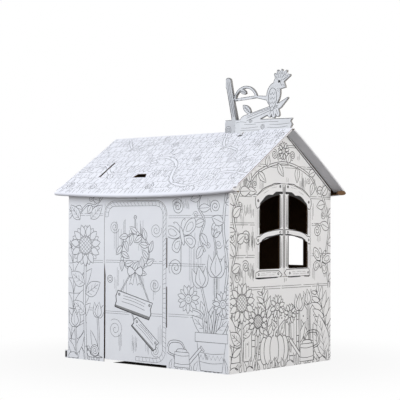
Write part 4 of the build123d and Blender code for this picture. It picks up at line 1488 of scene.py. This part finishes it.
# %% Ridge piece: leaves, post, branch and log
GRAIN_LINES = ((34, 70, 130), (30, 170, 300), (24, 60, 180), (20, 250, 360), (12, 70, 190),
               (8, 236, 350), (-2, 60, 200), (-6, 240, 362), (-14, 60, 150), (-16, 180, 340),
               (-24, 80, 240), (-28, 262, 356))
for at, angle, length in (((148, 72), 137, 58), ((86, 181), -24, 37)):
    foot = on_ridge([at])[0]
    ridge.line(put([(2, 0), (length * 0.9, 0)], foot, angle), 1.5)
    for along in (0.25, 0.45, 0.65):
        for side in (1, -1):
            vein = [(length * along, 0), (length * (along + 0.16), side * length * 0.13)]
            ridge.line(put(vein, foot, angle), 1.0)
for off in (-5, 4):
    ridge.line(flow(on_ridge([(57 + off, 62), (42 + off, 120), (27 + off, 180), (20 + off, 222)])), 1.2)
for off in (-9, 3, 11):
    strand = [(128, 50 + off), (180, 66 + off), (240, 82 + off * 0.7), (296, 97 + off * 0.4)]
    ridge.line(flow(on_ridge(strand)), 1.2)
KNOTS_IN_LOG = (((26, 4), 22, 2.6, 60, 1.5), ((150, 40), 9, 2.0, 20, 1.2), ((214, 12), 12, 2.2, 200, 1.3))
for at, *values in KNOTS_IN_LOG:
    spiral(ridge, on_ridge([at])[0], *values)
for level, start, end in GRAIN_LINES:
    middle = ((start + end) / 2, level + ridge.luck.uniform(-5, 5))
    ridge.line(flow(on_ridge([(start, level), middle, (end, level)])), 1.0)
print("ridge piece:", round(ridge.length(), 2), "m of line in", len(ridge.lines), "strokes")

# %% [markdown]
# Flexographic ink on coated paper dries to a thin, slightly uneven film with a low sheen. It is never a
# pure black, and it is a touch thinner where the plate pressed harder. The greys are the same ink printed
# as a fine screen of dots, which the eye sees as an even tone, so they are made as paler films.

# %% Black ink and its greys
MOTTLE = 6 * MM


def print_ink(name, dense, thin):
    """Flexographic printing ink: a thin matt film, uneven by a hair."""
    material, tree = new_material(name)
    here = add_node(tree, "TexCoord").outputs["Object"]
    mottle = add_node(tree, "TexNoise", Vector=here, Scale=1 / MOTTLE, Detail=3.0)
    tone = add_node(tree, "ValToRGB", stops=[(0.35, dense), (0.7, thin)], i0=mottle)
    film = add_node(tree, "MapRange", Value=mottle, To_Min=0.48, To_Max=0.64)
    shader = add_node(tree, "BsdfPrincipled", Base_Color=tone, Roughness=film,
                      Specular_IOR_Level=0.25)
    add_node(tree, "OutputMaterial", Surface=shader)
    return material


# The black ink also draws one painted shade line, along the window gable's rear rake, and the dense screen
# draws the roof's painted shade at the tab lip and the slit.
INKS = {"black": print_ink("black flexographic ink and painted shade", "#141517", "#2A2B2F"),
        "dark grey": print_ink("black ink, dense screen", "#1B1A1A", "#262424"),
        "middle grey": print_ink("black ink, middle screen", "#858585", "#969696"),
        "light grey": print_ink("black ink, light screen", "#B8B8BA", "#C6C6C8")}
print("made", [ink.name for ink in INKS.values()])

# %% [markdown]
# To print, a flat nib is drawn along every line: a curve whose cross-section is a second small curve,
# and whose radius at each point is the pen's width. Blender turns that into closed strips. Each corner
# of a strip is then dropped straight onto the board with a ray, so the ink follows the roof's bow and
# stops at every hole, and it ends up a tenth of a millimetre proud of the paper. The tones are filled flat
# curves that are dropped in the same way, a little lower than the lines, so that the lines show on them.

# %% The nib and its lines
CLOSED = 1e-6
TAPER = 3.0
nib_shape = bpy.data.curves.new("nib", "CURVE")
nib_shape.dimensions = "2D"
add_spline(nib_shape, box(-0.5, -0.1, 0.5, 0.1), closed=True)
nib = add_object("nib", nib_shape)


def thinned(points, slack=0.12):
    """The same line with the points left out that lie on the way."""
    if len(points) < 3:
        return points
    chord = points[-1] - points[0]
    reach = np.linalg.norm(chord)
    away = points - points[0]
    if reach < CLOSED:
        off = np.linalg.norm(away, axis=1)
    else:
        off = np.abs(chord[0] * away[:, 1] - chord[1] * away[:, 0]) / reach
    far = int(off.argmax())
    if off[far] < slack:
        return points[[0, -1]]
    return np.concatenate([thinned(points[:far + 1], slack)[:-1], thinned(points[far:], slack)])


def tapered(points, width):
    """Points and pen widths along a line, thinner at both ends."""
    ahead, behind = points[1] - points[0], points[-2] - points[-1]
    first_run, last_run = np.linalg.norm(ahead), np.linalg.norm(behind)
    short = min(TAPER, first_run * 0.4, last_run * 0.4)
    first = points[0] + ahead * short / first_run
    last = points[-1] + behind * short / last_run
    line = np.concatenate([points[:1], [first], points[1:-1], [last], points[-1:]])
    widths = [width * 0.5] + [width] * (len(line) - 2) + [width * 0.5]
    return line, widths


print("nib of", len(nib_shape.splines[0].points), "corners ready")

# %% The press
PROUD, TONE_PROUD, SUNK, TONE_HALF = 0.12 * MM, 0.07 * MM, 0.03 * MM, 0.1 * MM
REACH, FARTHEST = 50 * MM, 50 * MM + 60 * MM
SHORTEST = 6.0


def print_on(name, drawing, board, ray, slot, flip=1):
    """Print a drawing on a board: ray gives the start and aim above a place on the sheet."""
    work = bmesh.new()
    work.from_mesh(board.data)
    skin = BVHTree.FromBMesh(work)
    work.free()

    def depth_at(u, v):
        start, aim = ray(u, v)
        spot, normal, _, depth = skin.ray_cast(start, aim, FARTHEST)
        return depth if spot is not None and normal.dot(aim) < -0.5 else None

    pen = bpy.data.curves.new(name, "CURVE")
    pen.dimensions = "3D"
    pen.twist_mode = "Z_UP"
    pen.bevel_mode = "OBJECT"
    pen.bevel_object = nib
    pen.use_fill_caps = True
    for run, width in drawing.lines:
        run = run * (flip, 1)
        lit = np.array([depth_at(u * MM, v * MM) is not None for u, v in run])
        for part, shown in runs_of(run, lit):
            if shown and run_length(part) >= max(SHORTEST, 2 * width):
                line, widths = tapered(thinned(part), width)
                for point, wide in zip(add_spline(pen, line), widths):
                    point.radius = wide
    films = [("black", curve_mesh(pen), PROUD)]
    for outline, grey in drawing.tones:
        films.append((grey, filled(name, np.array(outline) * (flip, 1), TONE_HALF), TONE_PROUD))
    work = bmesh.new()
    for ink, film, proud in films:
        first_vert, first_face = len(work.verts), len(work.faces)
        work.from_mesh(film)
        work.verts.ensure_lookup_table()
        work.faces.ensure_lookup_table()
        depth = REACH
        for vert in work.verts[first_vert:]:
            found = depth_at(vert.co.x, vert.co.y)
            depth = found if found is not None else depth
            start, aim = ray(vert.co.x, vert.co.y)
            vert.co = start + aim * (depth - (proud if vert.co.z > 0 else -SUNK))
        for face in work.faces[first_face:]:
            face.material_index = list(INKS).index(ink)
    bmesh.ops.remove_doubles(work, verts=work.verts[:], dist=MERGE)
    bmesh.ops.recalc_face_normals(work, faces=work.faces[:])
    piece = add_piece(name, work, INKS.values(), slot)
    print(name, "tones:", len(drawing.tones), "faces:", len(piece.data.polygons))


print("ink stands", round(PROUD / MM, 2), "mm proud of the paper")

# %% [markdown]
# Each panel has its own way of looking at the sheet: its direction to the right, up and out, and a place
# on it. On the roof the ray comes in square to the slope. The ridge piece wears one drawing on both of its
# sides, mirrored on the rear, because the two layers were cut together.

# %% Print all panels


def square_to(right, up, out, middle):
    """The ray above a place on a flat panel with these directions."""
    middle = Vector(middle)
    return lambda u, v: (middle + right * u + up * v + out * REACH, -out)


FORWARD, REARWARD = Vector((0, -1, 0)), Vector((0, 1, 0))
PANELS = (
    ("ink_front", front, front_sheet, "wall_board", ALONG, UPRIGHT, FORWARD, (0, -HALF_WIDTH, 0)),
    ("ink_gable", gable, front_sheet, "wall_board", REARWARD, UPRIGHT, ALONG, (HALF_LENGTH, 0, 0)),
    ("ink_back", back, back_sheet, "wall_board", -ALONG, UPRIGHT, REARWARD, (0, HALF_WIDTH, 0)),
    ("ink_plain_gable", far_gable, back_sheet, "wall_board", FORWARD, UPRIGHT, -ALONG, (-HALF_LENGTH, 0, 0)),
    ("ink_roof_front", slopes[0], roof, "roof_board", ALONG, FRONT_RAKE, slope_out(-1), (0, 0, RIDGE_Z)),
    ("ink_roof_rear", slopes[1], roof, "roof_board", -ALONG, REAR_RAKE, slope_out(1), (0, 0, RIDGE_Z)),
    ("ink_ridge_front", ridge, ridge_board, "ridge_board", ALONG, UPRIGHT, FORWARD, (0, ridge_low.y, 0)),
    ("ink_ridge_rear", ridge, ridge_board, "ridge_board", -ALONG, UPRIGHT, REARWARD, (0, ridge_high.y, 0)))
for name, drawing, board, slot, *view in PANELS:
    print_on(name, drawing, board, square_to(*view), slot, -1 if name == "ink_ridge_rear" else 1)
bpy.data.objects.remove(nib)

# %% [markdown]
# The photograph was taken with a long lens from the right of the door, at about child height: 40
# degrees round from the front, looking up by a little more than one degree. A 108 mm lens on a 36 mm
# sensor gives the same slight narrowing towards the far end.

# %% Camera
lens = bpy.data.cameras.new("camera")
lens.sensor_width = 36
lens.lens = 107.6
lens.clip_end = 50
camera = add_object("camera", lens)
camera.location = (3.56705, -4.18282, 0.60095)
camera.rotation_euler = (math.radians(90 + 1.33), math.radians(-0.162), math.radians(40.40))
bpy.context.scene.camera = camera
print("camera at", [round(c, 2) for c in camera.location])

# %% [markdown]
# Studio light for a white object is mostly light from everywhere, so that no side goes dark. One broad
# softbox above the front makes the roof the brightest face, and three fills lift the front, the window
# gable, and the back with the plain gable. The background is white because the world answers camera
# rays with plain white; the light that reaches the board is a separate, lower strength, so the paper
# keeps its tone.

# %% Light from everywhere, and the background


def seen_rays(tree):
    """1 for rays that show a thing: from the camera, mirrored or let through; 0 for rays that light it."""
    rays = add_node(tree, "LightPath")
    seen = rays.outputs["Is Camera Ray"]
    for kind in ("Is Glossy Ray", "Is Transmission Ray"):
        seen = add_node(tree, "Math", {"operation": "MAXIMUM"}, i0=seen, i1=rays.outputs[kind])
    return seen


world = bpy.data.worlds.new("studio")
bpy.context.scene.world = world
world.use_nodes = True
sky = world.node_tree
sky.nodes.clear()
ambient = add_node(sky, "Background", Color=colour("#FAFBFF"), Strength=0.48)
backdrop = add_node(sky, "Background", Color=colour("#FFFFFF"), Strength=1.0)
choice = add_node(sky, "MixShader", i0=seen_rays(sky), i1=ambient, i2=backdrop)
add_node(sky, "OutputWorld", Surface=choice)
print("world of", len(sky.nodes), "nodes")

# %% Lamps
LAMPS = (("softbox above the front", (-0.8, -4.0, 3.7), (0, 0, 0.6), 2.8, 101, "#F4F8FF"),
         ("low fill on the front", (-0.8, -5.4, 1.9), (0, 0, 0.5), 2.4, 84, "#F6F9FF"),
         ("fill on the gable", (4.8, 0.0, 1.7), (0.4, 0, 0.5), 2.4, 122, "#FFFBF5"),
         ("fill on the back", (-3.4, 4.6, 2.4), (0, 0, 0.55), 2.8, 170, "#F8FAFF"))
for name, place, target, size, power, code in LAMPS:
    light = bpy.data.lights.new(name, "AREA")
    light.shape = "DISK"
    light.size = size
    light.energy = power
    light.color = colour(code)[:3]
    lamp = add_object(name, light)
    lamp.location = place
    lamp.rotation_euler = (Vector(target) - Vector(place)).to_track_quat("-Z", "Y").to_euler()
print(len(LAMPS), "lamps")

# %% [markdown]
# The house stands on a pale floor. A floor that is lit like the house would never be as white as the
# background, so camera rays see it mostly as plain white paper with a share of its real shading, which
# keeps a soft shadow where the board meets it. Inside the walls the floor keeps all of its real shading,
# so the room looks dark through the gap under the door, apart from a corner beside the door's free
# edge, which camera rays see as plain white, as a painted pool of light.

# %% Floor
floor_work = bmesh.new()
bmesh.ops.create_grid(floor_work, x_segments=1, y_segments=1, size=20)
floor_mesh = bpy.data.meshes.new("floor")
floor_work.to_mesh(floor_mesh)
floor_work.free()
floor = add_object("floor", floor_mesh)
floor.location.z = -0.3 * MM
print("floor of", [round(side) for side in floor.dimensions], "m")

# %% The floor's finish
BOARD = 4 * MM
INNER_X, INNER_Y = HALF_LENGTH - BOARD, HALF_WIDTH - BOARD
# A corner of the room's floor by the door's free edge is painted plain white, as painted light.
PAINTED_LIGHT_X, PAINTED_LIGHT_DEPTH = -190 * MM, 100 * MM
ROOM = (("X", "LESS_THAN", INNER_X), ("X", "GREATER_THAN", -INNER_X), ("Y", "LESS_THAN", INNER_Y),
        ("Y", "GREATER_THAN", -INNER_Y))
PAINTED_LIGHT_CORNER = (("X", "LESS_THAN", PAINTED_LIGHT_X), ("Y", "LESS_THAN", PAINTED_LIGHT_DEPTH - INNER_Y))
pale, ground = new_material("pale studio floor")
place = add_node(ground, "TexCoord").outputs["Object"]
distance = add_node(ground, "VectorMath", {"operation": "LENGTH"}, i0=place)
fade = add_node(ground, "MapRange", {"interpolation_type": "SMOOTHSTEP"},
                Value=distance.outputs["Value"], From_Min=0.4, From_Max=1.5, To_Min=0.92, To_Max=1.0)
spot = add_node(ground, "SeparateXYZ", Vector=place)


def inside_of(tests):
    """1 where a place on the floor passes every test, else 0."""
    passed = 1.0
    for axis, test, limit in tests:
        one = add_node(ground, "Math", {"operation": test}, i0=spot.outputs[axis], i1=limit)
        passed = add_node(ground, "Math", {"operation": "MULTIPLY"}, i0=one, i1=passed)
    return passed


shaded = add_node(ground, "Math", {"operation": "SUBTRACT"}, i0=1.0, i1=inside_of(PAINTED_LIGHT_CORNER))
dark = add_node(ground, "Math", {"operation": "MULTIPLY"}, i0=inside_of(ROOM), i1=shaded)
share = add_node(ground, "Math", {"operation": "SUBTRACT"}, i0=1.0, i1=dark)
for factor in (fade, seen_rays(ground)):
    share = add_node(ground, "Math", {"operation": "MULTIPLY"}, i0=share, i1=factor)
matte = add_node(ground, "BsdfDiffuse", Color=colour("#625E5A"))
plain = add_node(ground, "Emission", Color=colour("#FFFFFF"), Strength=1.0)
mixed = add_node(ground, "MixShader", i0=share, i1=matte, i2=plain)
add_node(ground, "OutputMaterial", Surface=mixed)
floor_mesh.materials.append(pale)
print("floor finish of", len(ground.nodes), "nodes")

# %% Finish
bpy.context.scene.view_settings.view_transform = "Standard"
